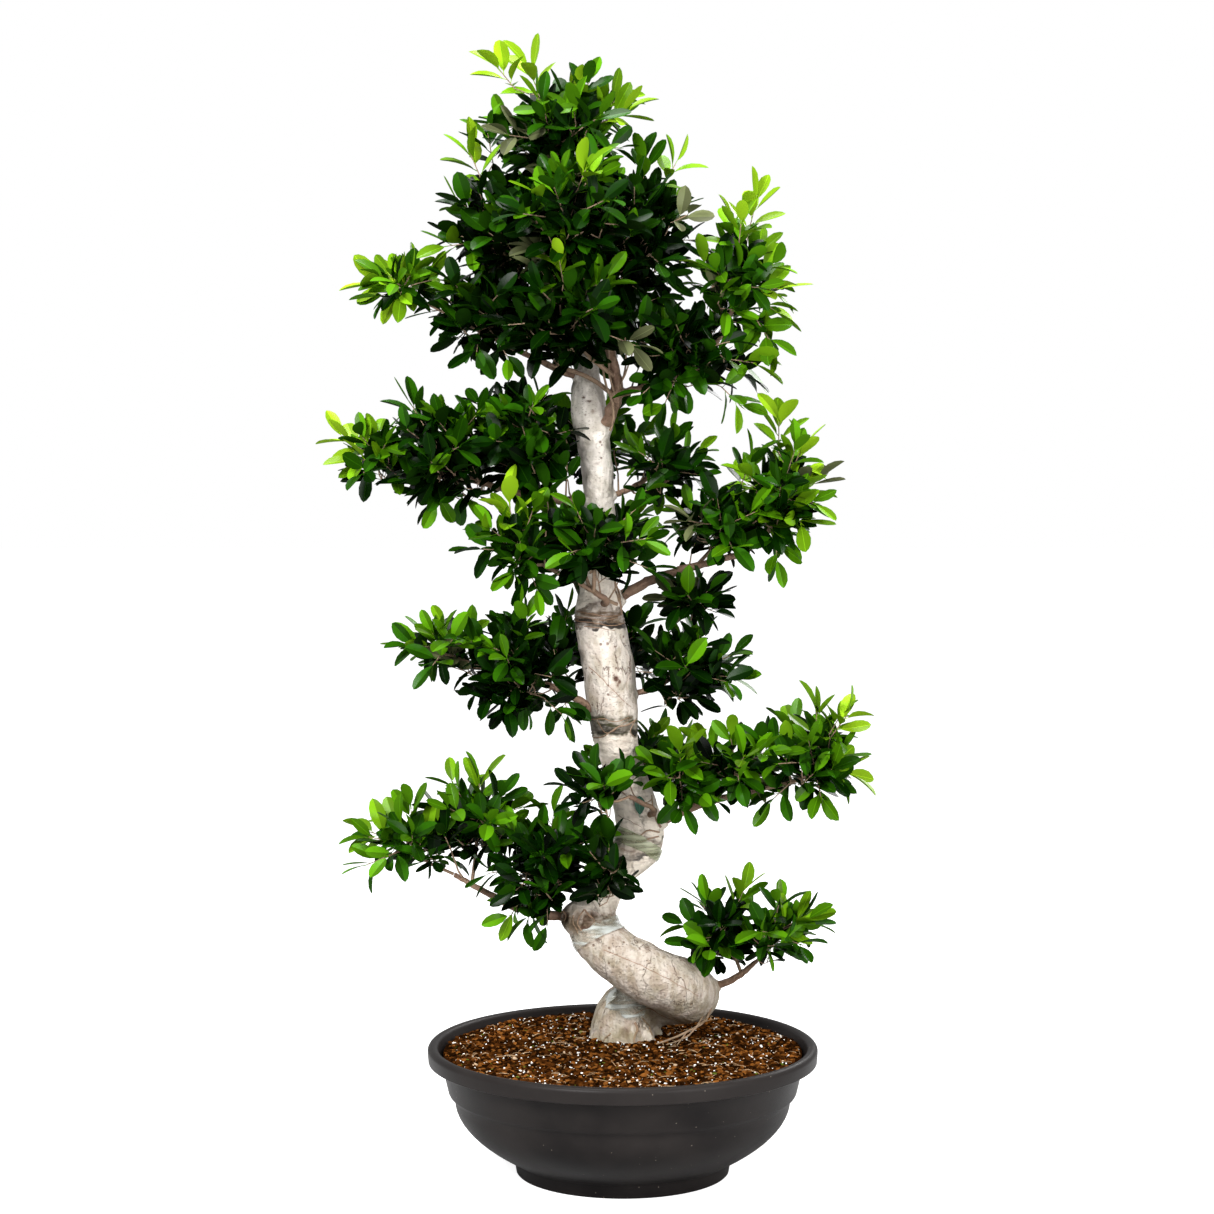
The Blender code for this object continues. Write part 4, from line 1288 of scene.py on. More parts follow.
BOUGHS = [
    Bough("bough_low_right", "trunk", 0.262,
          ((0.176, 0.056, 0.29),), (0.212, 0.045, 0.32), 0.01, 0.005),
    Bough("bough_low_left", "trunk", 0.394,
          ((-0.15, 0.0, 0.406),), (-0.262, 0.0, 0.464), 0.012, 0.0052),
    Bough("bough_second_right", "trunk", 0.52,
          ((0.105, 0.05, 0.56),), (0.212, 0.028, 0.592), 0.0125, 0.0055),
    Bough("bough_second_front", "trunk", 0.54,
          ((0.05, 0.022, 0.56),), (0.01, -0.008, 0.586), 0.007, 0.005),
    Bough("bough_third_left", "trunk", 0.69,
          ((-0.09, 0.026, 0.745),), (-0.2, 0.0, 0.786), 0.0095, 0.005),
    Bough("bough_third_right", "trunk", 0.732,
          ((0.045, 0.052, 0.748),), (0.078, 0.052, 0.766), 0.007, 0.005),
    Bough("bough_fourth_right", "trunk", 0.872,
          ((0.058, 0.03, 0.924),), (0.19, 0.02, 0.962), 0.013, 0.006),
    Bough("bough_fourth_front", "trunk", 0.88,
          ((-0.028, -0.024, 0.894),), (-0.122, -0.046, 0.946), 0.0085, 0.005),
    Bough("bough_fifth_left", "trunk", 1.04,
          ((-0.14, 0.015, 1.05),), (-0.305, 0.0, 1.098), 0.0105, 0.005),
    Bough("bough_fifth_right", "trunk", 1.045,
          ((0.005, 0.05, 1.058),), (0.04, 0.05, 1.078), 0.007, 0.005),
    Bough("leader", "trunk", 1.132,
          ((-0.01, 0.014, 1.2), (-0.022, 0.008, 1.28), (-0.07, 0.0, 1.41)),
          (-0.086, 0.0, 1.53), 0.014, 0.007),
    Bough("bough_crown_right", "leader", 1.206,
          ((0.05, 0.008, 1.226),), (0.148, 0.0, 1.29), 0.009, 0.005),
    Bough("bough_crown_left", "trunk", 1.232,
          ((-0.112, 0.02, 1.25),), (-0.225, 0.0, 1.306), 0.0085, 0.005),
]


def point_at_height(line: list[Vector], height: float) -> Vector:
    """Read a rising line off at a height.

    Args:
        line: The line.
        height: The height.

    Returns:
        The line's knot there.
    """
    for start, stop in zip(line, line[1:]):
        if start[2] <= height <= stop[2]:
            return start.lerp(stop, (height - start[2]) / (stop[2] - start[2]))
    raise ValueError(f"no point at height {height}")


@dataclass
class Limbs:
    """The trunk and the boughs: their middle lines, and the bark skins made from them."""

    steps: int = 6
    trunk_voxel: float = 0.0024
    bough_voxel: float = 0.0019
    burl: tuple = (-0.066, 0.004, 0.394)
    burl_radius: float = 0.030
    collar: float = 1.75
    slim: float = 0.76
    trunk_lumps: tuple = ((24.0, 0.0022), (70.0, 0.0009))
    trunk_folds: tuple = ((62.0, 0.0012),)
    bough_lumps: tuple = ((130.0, 0.0007), (50.0, 0.0007))
    ring_waves: float = 1150.0
    ring_depth: float = 0.0009
    crack_depth: float = 0.0006
    crack_dark: float = 0.38
    lines: dict[str, list[Vector]] = field(default_factory=dict)

    def trace(self) -> None:
        """Work out the middle line of every limb."""
        self.lines["foot"] = smooth_line([station.knot() for station in TRUNK_FOOT], self.steps)
        self.lines["trunk"] = smooth_line([station.knot() for station in TRUNK_RISE], self.steps)
        for bough in BOUGHS:
            root = point_at_height(self.lines[bough.parent], bough.height).to_3d()
            stops = [root, *(Vector(bend) for bend in bough.bends), Vector(bough.tip)]
            knots = []
            for number, stop in enumerate(stops):
                share = number / (len(stops) - 1)
                radius = bough.root_radius + (bough.tip_radius - bough.root_radius) * share
                knots.append(Vector((*stop, radius)))
            self.lines[bough.name] = smooth_line(knots, self.steps * 2)

    def build(self, effects: Effects) -> Object:
        """Make the skins of the trunk and the boughs and dress them.

        Args:
            effects: The shared node groups.

        Returns:
            The trunk.
        """
        trunk = self.trunk_skin()
        dress(trunk, [OLD_BARK.build(effects)], ["trunk"])
        boughs = self.bough_skin()
        dress(boughs, [YOUNG_BARK.build(effects)], [bough.name for bough in BOUGHS])
        return trunk

    def trunk_skin(self) -> Object:
        """The trunk with its foot, roots, burl and the collars of its boughs, melted into one skin."""
        things = [
            tube_object("trunk_bark", self.lines["trunk"], 10),
            tube_object("foot", self.lines["foot"], 10),
            ball("elbow", Vector(self.lines["trunk"][0][:3]), Vector.Fill(3, ELBOW.radius + 0.0005)),
            ball("burl", Vector(self.burl), Vector.Fill(3, self.burl_radius)),
        ]
        things.extend(tube_object("root", line, 4) for line in surface_roots())
        for bough in BOUGHS:
            if bough.parent == "trunk":
                things.append(self.collar_of(bough))
        trunk = melted("trunk_bark", things, self.trunk_voxel, 5)
        with editing(trunk):
            bpy.ops.mesh.bisect(plane_co=UP * SOIL_LEVEL, plane_no=UP, use_fill=True, clear_inner=True)
        roughen(trunk, self.trunk_relief)
        self.add_marks(trunk)
        shade(trunk, 180)
        return trunk

    def collar_of(self, bough: Bough) -> Object:
        """The swelling of the trunk round a bough's root.

        Args:
            bough: The bough.

        Returns:
            The swelling.
        """
        line = self.lines[bough.name]
        parent = point_at_height(self.lines["trunk"], bough.height)
        reach = parent[3] + bough.root_radius * 0.9
        knots = [knot for knot in line if (knot.to_3d() - parent.to_3d()).length < reach]
        grown = []
        for number, knot in enumerate(knots):
            share = number / max(len(knots) - 1, 1)
            radius = bough.root_radius * (self.collar + (1.02 - self.collar) * share**0.7)
            grown.append(Vector((*knot[:3], radius)))
        return tube_object("collar", grown, 4)

    def trunk_relief(self, place: Vector) -> float:
        """How far the bark stands out at a place: lumps, long folds, wrinkles, scars and cracks."""
        lump = waves_at(place, self.trunk_lumps)
        fold = waves_at(Vector((place.x, place.y, place.z * 0.25)), self.trunk_folds)
        ring = 0.0
        for middle, half in WRINKLED:
            near = max(0.0, 1.0 - abs(place.z - middle) / half)
            ring += near * math.sin((place.z + lump * 1.5) * self.ring_waves) * self.ring_depth
        for scar in SCARS:
            away = scar.away(place)
            if away < 1.8:
                ring += scar.rim * math.exp(-((away - 1.0) * 3.2) ** 2)
                ring -= scar.pit * max(0.0, 1.0 - away) ** 0.5
        return lump + fold + ring - crack_at(place) * self.crack_depth

    def add_marks(self, trunk: Object) -> None:
        """Store how dark the bark is at every vertex: in cracks and in scars, and the painted shade by the
        wraps and in creases.

        Args:
            trunk: The trunk.
        """
        marks = trunk.data.attributes.new(MARKS, "FLOAT", "POINT")
        values = []
        for vertex in trunk.data.vertices:
            dark = max(crack_at(vertex.co) * self.crack_dark, self.fold_shadow(vertex.co))
            for scar in SCARS:
                dark = max(dark, scar.dark * min(1.0, (1.3 - scar.away(vertex.co)) * 1.6))
            values.append(min(dark, 1.0))
        marks.data.foreach_set("value", np.array(values, dtype=np.float32))

    def fold_shadow(self, place: Vector) -> float:
        """The painted shade on the bark by the edges of a wrap and in the creases of an old one."""
        dark = 0.0
        wander = noise.noise(place * 55.0) * 0.0035
        for wrap in WRAPS:
            middle = point_at_height(self.lines["trunk"], wrap.height)
            ahead = point_at_height(self.lines["trunk"], wrap.height + 0.004)
            along = (ahead - middle).to_3d().normalized()
            offset = place - middle.to_3d()
            if offset.length < 0.070:
                away = abs(abs(offset.dot(along) + wander) - wrap.length / 2 - 0.001)
                dark = max(dark, wrap.shadow * max(0.0, 1.0 - away / 0.0035))
        for middle, half in WRINKLED:
            near = max(0.0, 1.0 - abs(place.z - middle) / half)
            wave = math.sin((place.z + wander * 1.6) * self.ring_waves)
            dark = max(dark, min(near * 1.6, 1.0) * max(0.0, wave) * 0.75)
        return dark

    def bough_skin(self) -> Object:
        """The boughs and the leader, melted into one skin with knots and rings."""
        things = []
        for bough in BOUGHS:
            rng = random.Random(f"{SEED} {bough.name}")
            line = []
            for number, knot in enumerate(self.lines[bough.name]):
                sway = random_vector(rng, 1) * knot[3] * 0.16
                swell = 1.0 + 0.10 * rng.random() * (number % 3 == 0)
                line.append(Vector((*(knot.to_3d() + sway), knot[3] * swell * self.slim)))
            things.append(tube_object(bough.name + "_bark", line, 5))
        boughs = melted("bough_bark", things, self.bough_voxel, 3)
        roughen(boughs, lambda place: waves_at(place, self.bough_lumps))
        shade(boughs, 180)
        return boughs


SOIL_LEVEL = 0.1905
# The roots round the trunk's foot: their bearings in degrees, their reach and their radius
ROOTS = [
    (-152, 0.055, 0.0085),
    (-112, 0.053, 0.0075),
    (-72, 0.056, 0.0085),
    (-35, 0.06, 0.008),
    (15, 0.064, 0.01),
    (75, 0.06, 0.01),
    (140, 0.06, 0.01),
]
# The shares of a root's reach, height and radius at its knots
ROOT_STEPS = ((0.30, 1.0, 1.0), (0.62, 0.62, 0.95), (0.86, 0.28, 0.8), (1.0, -0.15, 0.6))
ROOT_HEIGHT = 0.032
ROOT_LEVEL = 0.190
# The wrinkled stretches of the trunk: their middle and half their height
WRINKLED = ((0.482, 0.014), (0.675, 0.016), (0.858, 0.016), (0.392, 0.020))


def surface_roots() -> list[list[Vector]]:
    """The middle lines of the roots that leave the trunk's foot, from inside it out and into the mix."""
    foot = TRUNK_FOOT[0]
    lines = []
    for bearing, reach, radius in ROOTS:
        turn = math.radians(bearing)
        out = Vector((math.cos(turn), math.sin(turn), 0.0)) * reach
        knots = []
        for share, lift, thick in ROOT_STEPS:
            place = Vector((foot.x, foot.y, ROOT_LEVEL + ROOT_HEIGHT * lift)) + out * share
            knots.append(Vector((*place, radius * thick)))
        lines.append(smooth_line(knots, 4))
    return lines


def front_of(tree: BVHTree, place: Vector) -> tuple:
    """Where a line from the front, level with a place, meets a skin: the point and its normal first."""
    return tree.ray_cast(Vector((place.x, -1.0, place.z)), Vector((0.0, 1.0, 0.0)))


def roughen(thing: Object, relief: Callable[[Vector], float]) -> None:
    """Move every vertex out along its normal by the relief at its place.

    Args:
        thing: The object.
        relief: A function from a place to a distance in metres.
    """
    mesh = thing.data
    moved = [vertex.co + vertex.normal * relief(vertex.co) for vertex in mesh.vertices]
    mesh.vertices.foreach_set("co", np.array(moved, dtype=np.float32).ravel())
    mesh.update()


@dataclass(frozen=True)
class Scar:
    """A mark on the bark: its place, its size, its pit, the rim round it and how dark it is."""

    x: float
    y: float
    z: float
    size: float
    pit: float = 0.0012
    rim: float = 0.0008
    dark: float = 0.8
    flat: float = 1.0

    def away(self, place: Vector) -> float:
        """How far a place is from the middle in sizes of the scar, whose height is less where it is flat."""
        offset = Vector((place.x - self.x, place.y - self.y, (place.z - self.z) * self.flat))
        return offset.length / self.size


SCARS = [
    Scar(-0.054, -0.027, 0.394, 0.009, 0.005, 0.0022, 1.0, 0.6),
    Scar(-0.06, -0.027, 0.386, 0.007, 0.003, 0.001, 1.0, 0.9),
    Scar(-0.088, -0.014, 0.398, 0.008, 0.0045, 0.002, 1.0, 0.9),
    Scar(-0.094, -0.01, 0.388, 0.006, 0.003, 0.0012, 1.0, 0.7),
    Scar(-0.074, -0.024, 0.388, 0.011, 0.0015, 0.001, 0.62, 0.7),
    Scar(-0.07, -0.026, 0.404, 0.008, 0.0015, 0.001, 0.55, 0.7),
    Scar(-0.044, -0.018, 0.404, 0.008, 0.003, 0.002, 0.9),
    Scar(-0.01, 0.01, 0.767, 0.0046, 0.0018, 0.001, 1.0, 0.9),
    Scar(-0.004, 0.01, 0.762, 0.0034, 0.0014, 0.0008, 0.9, 0.8),
    Scar(-0.007, 0.01, 0.757, 0.0024, 0.0008, 0.0004, 0.8, 0.6),
    Scar(-0.013, 0.01, 0.772, 0.0022, 0.0006, 0.0004, 0.7, 0.7),
    Scar(-0.034, 0.013, 0.8, 0.004, dark=0.7),
    Scar(0.006, 0.018, 0.822, 0.0034, dark=0.9),
    Scar(-0.04, 0.012, 0.838, 0.003, dark=0.6, flat=1.8),
    Scar(-0.042, 0.014, 0.886, 0.006, dark=0.6, flat=2.2),
    Scar(-0.02, 0.018, 0.724, 0.0036, dark=0.7),
    Scar(0.0, 0.022, 0.742, 0.0034, dark=0.6),
    Scar(0.008, 0.038, 0.548, 0.0045, dark=0.8),
    Scar(0.01, 0.038, 0.534, 0.0036, dark=0.9),
    Scar(0.034, 0.036, 0.522, 0.0055, 0.0016, 0.0016, 0.9),
    Scar(-0.06, 0.02, 1.202, 0.0036, dark=0.9, flat=1.6),
    Scar(-0.052, 0.018, 1.196, 0.0042, dark=0.9, flat=1.8),
    Scar(-0.046, 0.018, 1.18, 0.0036, dark=0.6),
    Scar(-0.04, 0.022, 1.1, 0.0042, dark=0.5, flat=1.6),
    Scar(0.012, -0.028, 0.334, 0.0075, 0.001, 0.0006, 0.35, 1.4),
    Scar(-0.012, -0.028, 0.346, 0.0044, dark=0.6),
    Scar(0.052, -0.026, 0.296, 0.01, 0.001, 0.0006, 0.3, 1.6),
    Scar(0.078, -0.01, 0.314, 0.007, 0.0008, 0.0006, 0.4, 0.7),
    Scar(0.004, -0.03, 0.312, 0.006, dark=0.25, flat=1.5),
    Scar(0.004, 0.038, 0.206, 0.0075, 0.0012, 0.0008, 0.7, 0.7),
]

# Cracks, as seen from the front: x and z along each line. The longer ones are also drawn as thin lines.
CRACKS = [
    [(-0.03, 0.352), (0.01, 0.336), (0.048, 0.318), (0.086, 0.296), (0.118, 0.274)],
    [(0.124, 0.308), (0.126, 0.29), (0.122, 0.27)],
    [(0.06, 0.322), (0.07, 0.314), (0.076, 0.302)],
    [(0.05, 0.298), (0.044, 0.288)],
    [(0.062, 0.29), (0.05, 0.272)],
    [(0.07, 0.284), (0.06, 0.27)],
    [(0.108, 0.266), (0.104, 0.256)],
    [(-0.006, 0.548), (0.006, 0.544), (0.018, 0.538), (0.03, 0.53)],
    [(-0.04, 0.7), (-0.026, 0.682), (-0.008, 0.69), (0.014, 0.706)],
    [(-0.058, 0.822), (-0.044, 0.806), (-0.034, 0.788)],
    [(0.012, 0.78), (0.006, 0.758), (0.012, 0.736)],
    [(-0.052, 0.784), (-0.03, 0.766), (-0.01, 0.744), (0.012, 0.722)],
    [(-0.04, 1.0), (-0.034, 0.976), (-0.042, 0.95)],
]
CRACK_HALF_WIDTH = 0.0022
FRONT_DEPTH = 0.050


def crack_at(place: Vector) -> float:
    """How near a place on the front of the trunk is to a crack: 1 on it and 0 off it."""
    if place.y > FRONT_DEPTH:
        return 0.0
    best = CRACK_HALF_WIDTH
    wander = noise.noise(place * 60.0) * 0.003
    for line in CRACKS:
        for (x0, z0), (x1, z1) in zip(line, line[1:]):
            dx, dz = x1 - x0, z1 - z0
            share = ((place.x - x0) * dx + (place.z - z0) * dz) / (dx * dx + dz * dz)
            share = min(max(share, 0.0), 1.0)
            away = math.hypot(place.x + wander - x0 - dx * share, place.z - z0 - dz * share)
            best = min(best, away)
    return 1.0 - best / CRACK_HALF_WIDTH


# Painted light: pale bands on stretches of trunk that the tiers above shade
PAINTED_LIGHT = (0.860, 0.770, 0.660)
MOSS = (0.046, 0.042, 0.017)
WET_BROWN = (0.085, 0.050, 0.024)
NEAR_BLACK = (0.014, 0.010, 0.006)
OLD_BARK = BarkFinish(
    kind=BarkKind.OLD,
    colour=(0.47, 0.402, 0.34),
    second=(0.366, 0.294, 0.23),
    # Paler towards the top: partly the bark's own tone, partly painted light where the tiers shade the trunk
    top=(0.83, 0.772, 0.704),
    top_from=0.6,
    top_to=1.2,
    spot=(0.15, 0.074, 0.042),
    stain=(0.215, 0.185, 0.1),
    bands=(
        (0.452, 0.034, 0.8, PAINTED_LIGHT),
        (0.56, 0.046, 0.8, PAINTED_LIGHT),
        (0.654, 0.018, 0.6, PAINTED_LIGHT),
        (0.915, 0.03, 0.7, PAINTED_LIGHT),
        (0.69, 0.013, 1.0, MOSS),
        (0.686, 0.006, 0.95, NEAR_BLACK),
        (0.875, 0.003, 0.8, WET_BROWN),
        (0.86, 0.011, 0.95, WET_BROWN),
        (0.849, 0.004, 0.95, NEAR_BLACK),
        (0.392, 0.01, 0.45, MOSS),
        (0.512, 0.004, 0.85, MOSS),
        (0.486, 0.004, 0.9, NEAR_BLACK),
    ),
)
YOUNG_BARK = BarkFinish(
    kind=BarkKind.YOUNG,
    colour=(0.25, 0.152, 0.102),
    second=(0.15, 0.086, 0.054),
    top=(0.225, 0.138, 0.092),
    top_from=0.2,
    top_to=1.5,
    spot=(0.105, 0.06, 0.04),
    stain=(0.2, 0.14, 0.08),
)
TWIG_BARK = BarkFinish(
    kind=BarkKind.TWIG,
    colour=(0.34, 0.225, 0.145),
    second=(0.225, 0.14, 0.088),
    top=(0.32, 0.215, 0.145),
    top_from=0.2,
    top_to=1.5,
    spot=(0.14, 0.08, 0.05),
    stain=(0.24, 0.18, 0.1),
)


# Wraps

FILM_THICKNESS = 0.0005


def finish_film(film: Object, material: Material, nodes: list[str]) -> None:
    """Give a sheet of film its thickness and dress it.

    Args:
        film: The sheet.
        material: Its material.
        nodes: The nodes that it replaces.
    """
    skin = film.modifiers.new("Skin", "SOLIDIFY")
    skin.thickness = FILM_THICKNESS
    skin.offset = 1.0
    apply_modifiers(film)
    shade(film, 50)
    dress(film, [material], nodes)


@dataclass
class Wrap:
    """A creased band of film round the trunk: its place and length along it, its folds and its shadow."""

    name: str
    node: str
    height: float
    length: float
    shadow: float
    folds: float
    finish: FilmFinish
    stand_off: float = 0.0016
    room: float = 0.010
    puckers: tuple = ((160.0, 0.0002),)
    segments: int = 96
    rings: int = 16

    def build(self, limbs: Limbs, trunk: Object, material: Material) -> None:
        """Draw a sleeve onto the trunk, crease it and give it a thickness.

        Args:
            limbs: The limbs' middle lines.
            trunk: The trunk's skin.
            material: The film.
        """
        line = limbs.lines["trunk"]
        middle = point_at_height(line, self.height)
        inside = [knot for knot in line if abs(knot[2] - self.height) < self.length]
        along = (inside[-1] - inside[0]).to_3d().normalized()
        deselect_all()
        bpy.ops.mesh.primitive_cylinder_add(
            vertices=self.segments,
            radius=middle[3] + self.room,
            depth=self.length,
            end_fill_type="NOTHING",
            location=middle.to_3d(),
            rotation=along.to_track_quat("Z", "Y").to_euler(),
        )
        sleeve = active(self.name)
        settle(sleeve)
        with editing(sleeve):
            for step in range(1, self.rings):
                place = middle.to_3d() + along * self.length * (step / self.rings - 0.5)
                bpy.ops.mesh.select_all(action="SELECT")
                bpy.ops.mesh.bisect(plane_co=place, plane_no=along)
        hug = sleeve.modifiers.new("Hug", "SHRINKWRAP")
        hug.target = trunk
        hug.wrap_mode = "ABOVE_SURFACE"
        hug.offset = self.stand_off
        soften = sleeve.modifiers.new("Soften", "SMOOTH")
        soften.factor = 0.5
        soften.iterations = 3
        apply_modifiers(sleeve)
        roughen(sleeve, self.crease)
        finish_film(sleeve, material, [self.node])

    def crease(self, place: Vector) -> float:
        """How far the film stands off at a place: long folds that run round the trunk, and small puckers."""
        slant = Vector((place.x * 0.4, place.y * 0.4, place.z * 3.0 + place.x * 0.8))
        return abs(noise.noise(slant * 60.0)) * self.folds + waves_at(place, self.puckers)


WRAPS = [
    Wrap("low_wrap_film", "wrap_low", 0.366, 0.021, 0.50, 0.0012, CLEAR_FILM),
    Wrap("mid_wrap_film", "wrap_mid", 0.499, 0.022, 0.90, 0.0005, OLD_FILM),
]


@dataclass
class FilmPatch:
    """A scrap of film that still clings to the front of the stub."""

    centre: tuple = (0.006, 0.0, 0.246)
    width: float = 0.062
    height: float = 0.034
    slope: float = 0.42
    ragged: float = 0.007
    fold_scale: float = 70.0
    fold_depth: float = 0.0024
    stand_off: float = 0.0012
    columns: int = 34
    rows: int = 16

    def build(self, trunk: Object, material: Material) -> None:
        """Lay a sheet on the bark, crease it and give it a thickness.

        Args:
            trunk: The trunk's skin.
            material: The film.
        """
        deselect_all()
        bpy.ops.mesh.primitive_grid_add(
            x_subdivisions=self.columns, y_subdivisions=self.rows, size=1.0, location=self.centre,
            rotation=(math.pi / 2, self.slope, 0.0),
        )
        sheet = active("stub_film")
        sheet.scale = (self.width, self.height, 1.0)
        settle(sheet)
        for vertex in sheet.data.vertices:
            ragged = noise.noise_vector(vertex.co * 60.0) * self.ragged
            vertex.co += Vector((ragged.x, 0.0, ragged.z))
        cling = sheet.modifiers.new("Cling", "SHRINKWRAP")
        cling.target = trunk
        cling.wrap_method = "PROJECT"
        cling.use_project_y = True
        cling.use_positive_direction = True
        cling.use_negative_direction = False
        cling.offset = self.stand_off
        apply_modifiers(sheet)
        roughen(sheet, self.crease)
        finish_film(sheet, material, [])

    def crease(self, place: Vector) -> float:
        """How far the film stands off at a place, in upright folds."""
        return abs(noise.noise(Vector((place.x * 1.6, 0.0, place.z)) * self.fold_scale)) * self.fold_depth


# Thin lines on the bark


@dataclass(frozen=True)
class Runner:
    """A thin root, stem or crack, with points of x and z on the bark's front, or of x, y and z off it."""

    points: tuple
    thick: float
    thin: float
    wander: float = 0.0010


AERIAL_STEMS = [
    Runner(((0.14, 0.04, 0.25), (0.128, 0.034, 0.226), (0.092, 0.028, 0.206), (0.05, 0.03, 0.19)),
           0.0028, 0.0014),
    Runner(((0.128, 0.036, 0.236), (0.104, 0.024, 0.206), (0.068, 0.022, 0.191)), 0.0018, 0.0009),
    Runner(((0.102, 0.03, 0.212), (0.086, 0.014, 0.194), (0.07, 0.008, 0.19)), 0.0011, 0.0006),
    Runner(((0.02, 0.222), (0.023, 0.21), (0.018, 0.198), (0.02, 0.19)), 0.0022, 0.0018),
    Runner(((0.03, 0.228), (0.04, 0.214), (0.048, 0.2)), 0.0018, 0.001),
    Runner(((-0.018, 0.206), (-0.026, 0.198), (-0.03, 0.191)), 0.0014, 0.001),
    Runner(((-0.05, 0.672), (-0.03, 0.676), (-0.01, 0.69), (0.008, 0.694), (0.022, 0.702)),
           0.0013, 0.0009),
    Runner(((0.02, 0.7), (0.012, 0.684), (0.02, 0.672)), 0.001, 0.0006),
    Runner(((0.06, 0.53), (0.053, 0.542), (0.048, 0.558), (0.046, 0.58)), 0.002, 0.0011),
    Runner(((0.058, 0.522), (0.04, 0.526), (0.026, 0.518), (0.016, 0.522), (0.014, 0.512)), 0.0016, 0.0008),
    Runner(((0.056, 0.516), (0.04, 0.513), (0.03, 0.508), (0.02, 0.512)), 0.0014, 0.0008),
    Runner(((0.012, 0.596), (0.02, 0.58), (0.034, 0.57), (0.046, 0.574)), 0.0012, 0.0007),
    Runner(((0.0, 0.604), (-0.002, 0.59), (0.01, 0.578)), 0.0011, 0.0007),
    Runner(((-0.002, 0.866), (-0.006, 0.9), (-0.018, 0.932), (-0.03, 0.96)), 0.0021, 0.001),
    Runner(((0.0, 0.872), (-0.012, 0.91), (-0.01, 0.95)), 0.0016, 0.0008),
    Runner(((-0.062, 0.962), (-0.058, 0.93), (-0.05, 0.908), (-0.03, 0.892), (-0.008, 0.882)),
           0.0028, 0.0034),
    Runner(((-0.012, 0.006, 1.202), (-0.036, 0.008, 1.222), (-0.07, 0.012, 1.24), (-0.112, 0.02, 1.252)),
           0.004, 0.0034),
    Runner(((-0.016, 0.004, 1.194), (-0.027, 0.0, 1.225), (-0.031, -0.004, 1.262), (-0.024, -0.01, 1.305)),
           0.0021, 0.0013),
    Runner(((-0.013, 0.002, 1.205), (-0.021, -0.006, 1.24), (-0.023, -0.012, 1.28), (-0.042, -0.02, 1.322)),
           0.0018, 0.0011),
    Runner(((-0.006, 0.004, 1.215), (0.004, -0.004, 1.25), (0.003, -0.014, 1.305)), 0.0018, 0.0011),
    Runner(((-0.02, 0.01, 1.15), (-0.014, 0.006, 1.17), (-0.016, 0.002, 1.196)), 0.0022, 0.0018),
    Runner(((-0.06, 0.411), (-0.067, 0.402), (-0.07, 0.391), (-0.065, 0.381), (-0.062, 0.374)),
           0.0014, 0.001),
    Runner(((-0.06, 0.411), (-0.052, 0.404), (-0.045, 0.396), (-0.043, 0.386)), 0.0017, 0.0011),
    Runner(((-0.076, 0.404), (-0.077, 0.392), (-0.071, 0.381), (-0.07, 0.373)), 0.0013, 0.001),
    Runner(((-0.094, 0.41), (-0.088, 0.402), (-0.09, 0.393)), 0.0015, 0.001),
]
OLD_CREASES = [
    Runner(((-0.078, 0.872), (-0.05, 0.868), (-0.024, 0.864), (0.0, 0.866)), 0.0009, 0.0006),
    Runner(((-0.078, 0.864), (-0.054, 0.861), (-0.03, 0.858), (-0.008, 0.862)), 0.0008, 0.0005),
    Runner(((-0.074, 0.856), (-0.046, 0.854), (-0.02, 0.85), (0.002, 0.852)), 0.0009, 0.0006),
    Runner(((-0.06, 0.848), (-0.036, 0.846), (-0.012, 0.842)), 0.0008, 0.0005),
    Runner(((-0.052, 0.7), (-0.032, 0.704), (-0.012, 0.7), (0.01, 0.706)), 0.001, 0.0006),
    Runner(((0.02, 0.234), (0.04, 0.24), (0.066, 0.226), (0.094, 0.22)), 0.001, 0.0006),
]
CRACK_RADIUS = 0.00060
CRACK_WANDER = 0.0016
CRACK_LEAST_POINTS = 4
CRACK_FINISH = GrainFinish("crack_finish", (0.190, 0.110, 0.070), (0.300, 0.190, 0.125), 90.0)


@dataclass
class BarkLines:
    """The thin lines of the trunk: cracks and creases as one piece, rootlets and bare stems as another."""

    trunk_tree: BVHTree
    steps: int = 6
    wander_scale: float = 90.0

    def traced(self, runner: Runner) -> list[Vector]:
        """Draw a line smoothly, on the bark's front where it isn't free.

        Args:
            runner: The line.

        Returns:
            Its points.
        """
        found = []
        for point in smooth_line([Vector(knot) for knot in runner.points], self.steps):
            if len(point) == 3:
                found.append(point + noise.noise_vector(point * self.wander_scale) * runner.wander)
                continue
            place = Vector((point.x, 0.0, point.y))
            place += noise.noise_vector(place * self.wander_scale) * runner.wander
            place.y = 0.0
            hit = front_of(self.trunk_tree, place)[0]
            if hit is not None:
                found.append(hit)
        return found

    def piece(self, name: str, runners: list[Runner], sides: int, material: Material) -> None:
        """Make one piece of several lines.

        Args:
            name: The piece's name.
            runners: The lines.
            sides: How many sides each has.
            material: Its bark.
        """
        batch = Batch()
        for runner in runners:
            line = self.traced(runner)
            last = len(line) - 1
            if last > 1:
                step = (runner.thin - runner.thick) / last
                batch.tube(line, [runner.thick + step * number for number in range(last + 1)], sides)
        dress(batch.build(name, 60), [material], [])

    def build(self, effects: Effects, bark: Material) -> None:
        """Make both pieces.

        Args:
            effects: The shared node groups.
            bark: The bark of rootlets and stems.
        """
        drawn = [tuple(line) for line in CRACKS if len(line) >= CRACK_LEAST_POINTS]
        cracks = [Runner(line, CRACK_RADIUS, CRACK_RADIUS * 0.5, CRACK_WANDER) for line in drawn]
        self.piece("bark_cracks", cracks + OLD_CREASES, 4, CRACK_FINISH.build(effects))
        self.piece("aerial_stems", AERIAL_STEMS, 7, bark)


# Foliage


class Tier(Enum):
    """The tiers of foliage, from the pot up, each made as one piece of leaves and one of twigs."""

    LOW = "low"
    SECOND = "second"
    THIRD = "third"
    FOURTH = "fourth"
    FIFTH = "fifth"
    CROWN_WINGS = "crown_wings"
    CROWN = "crown"


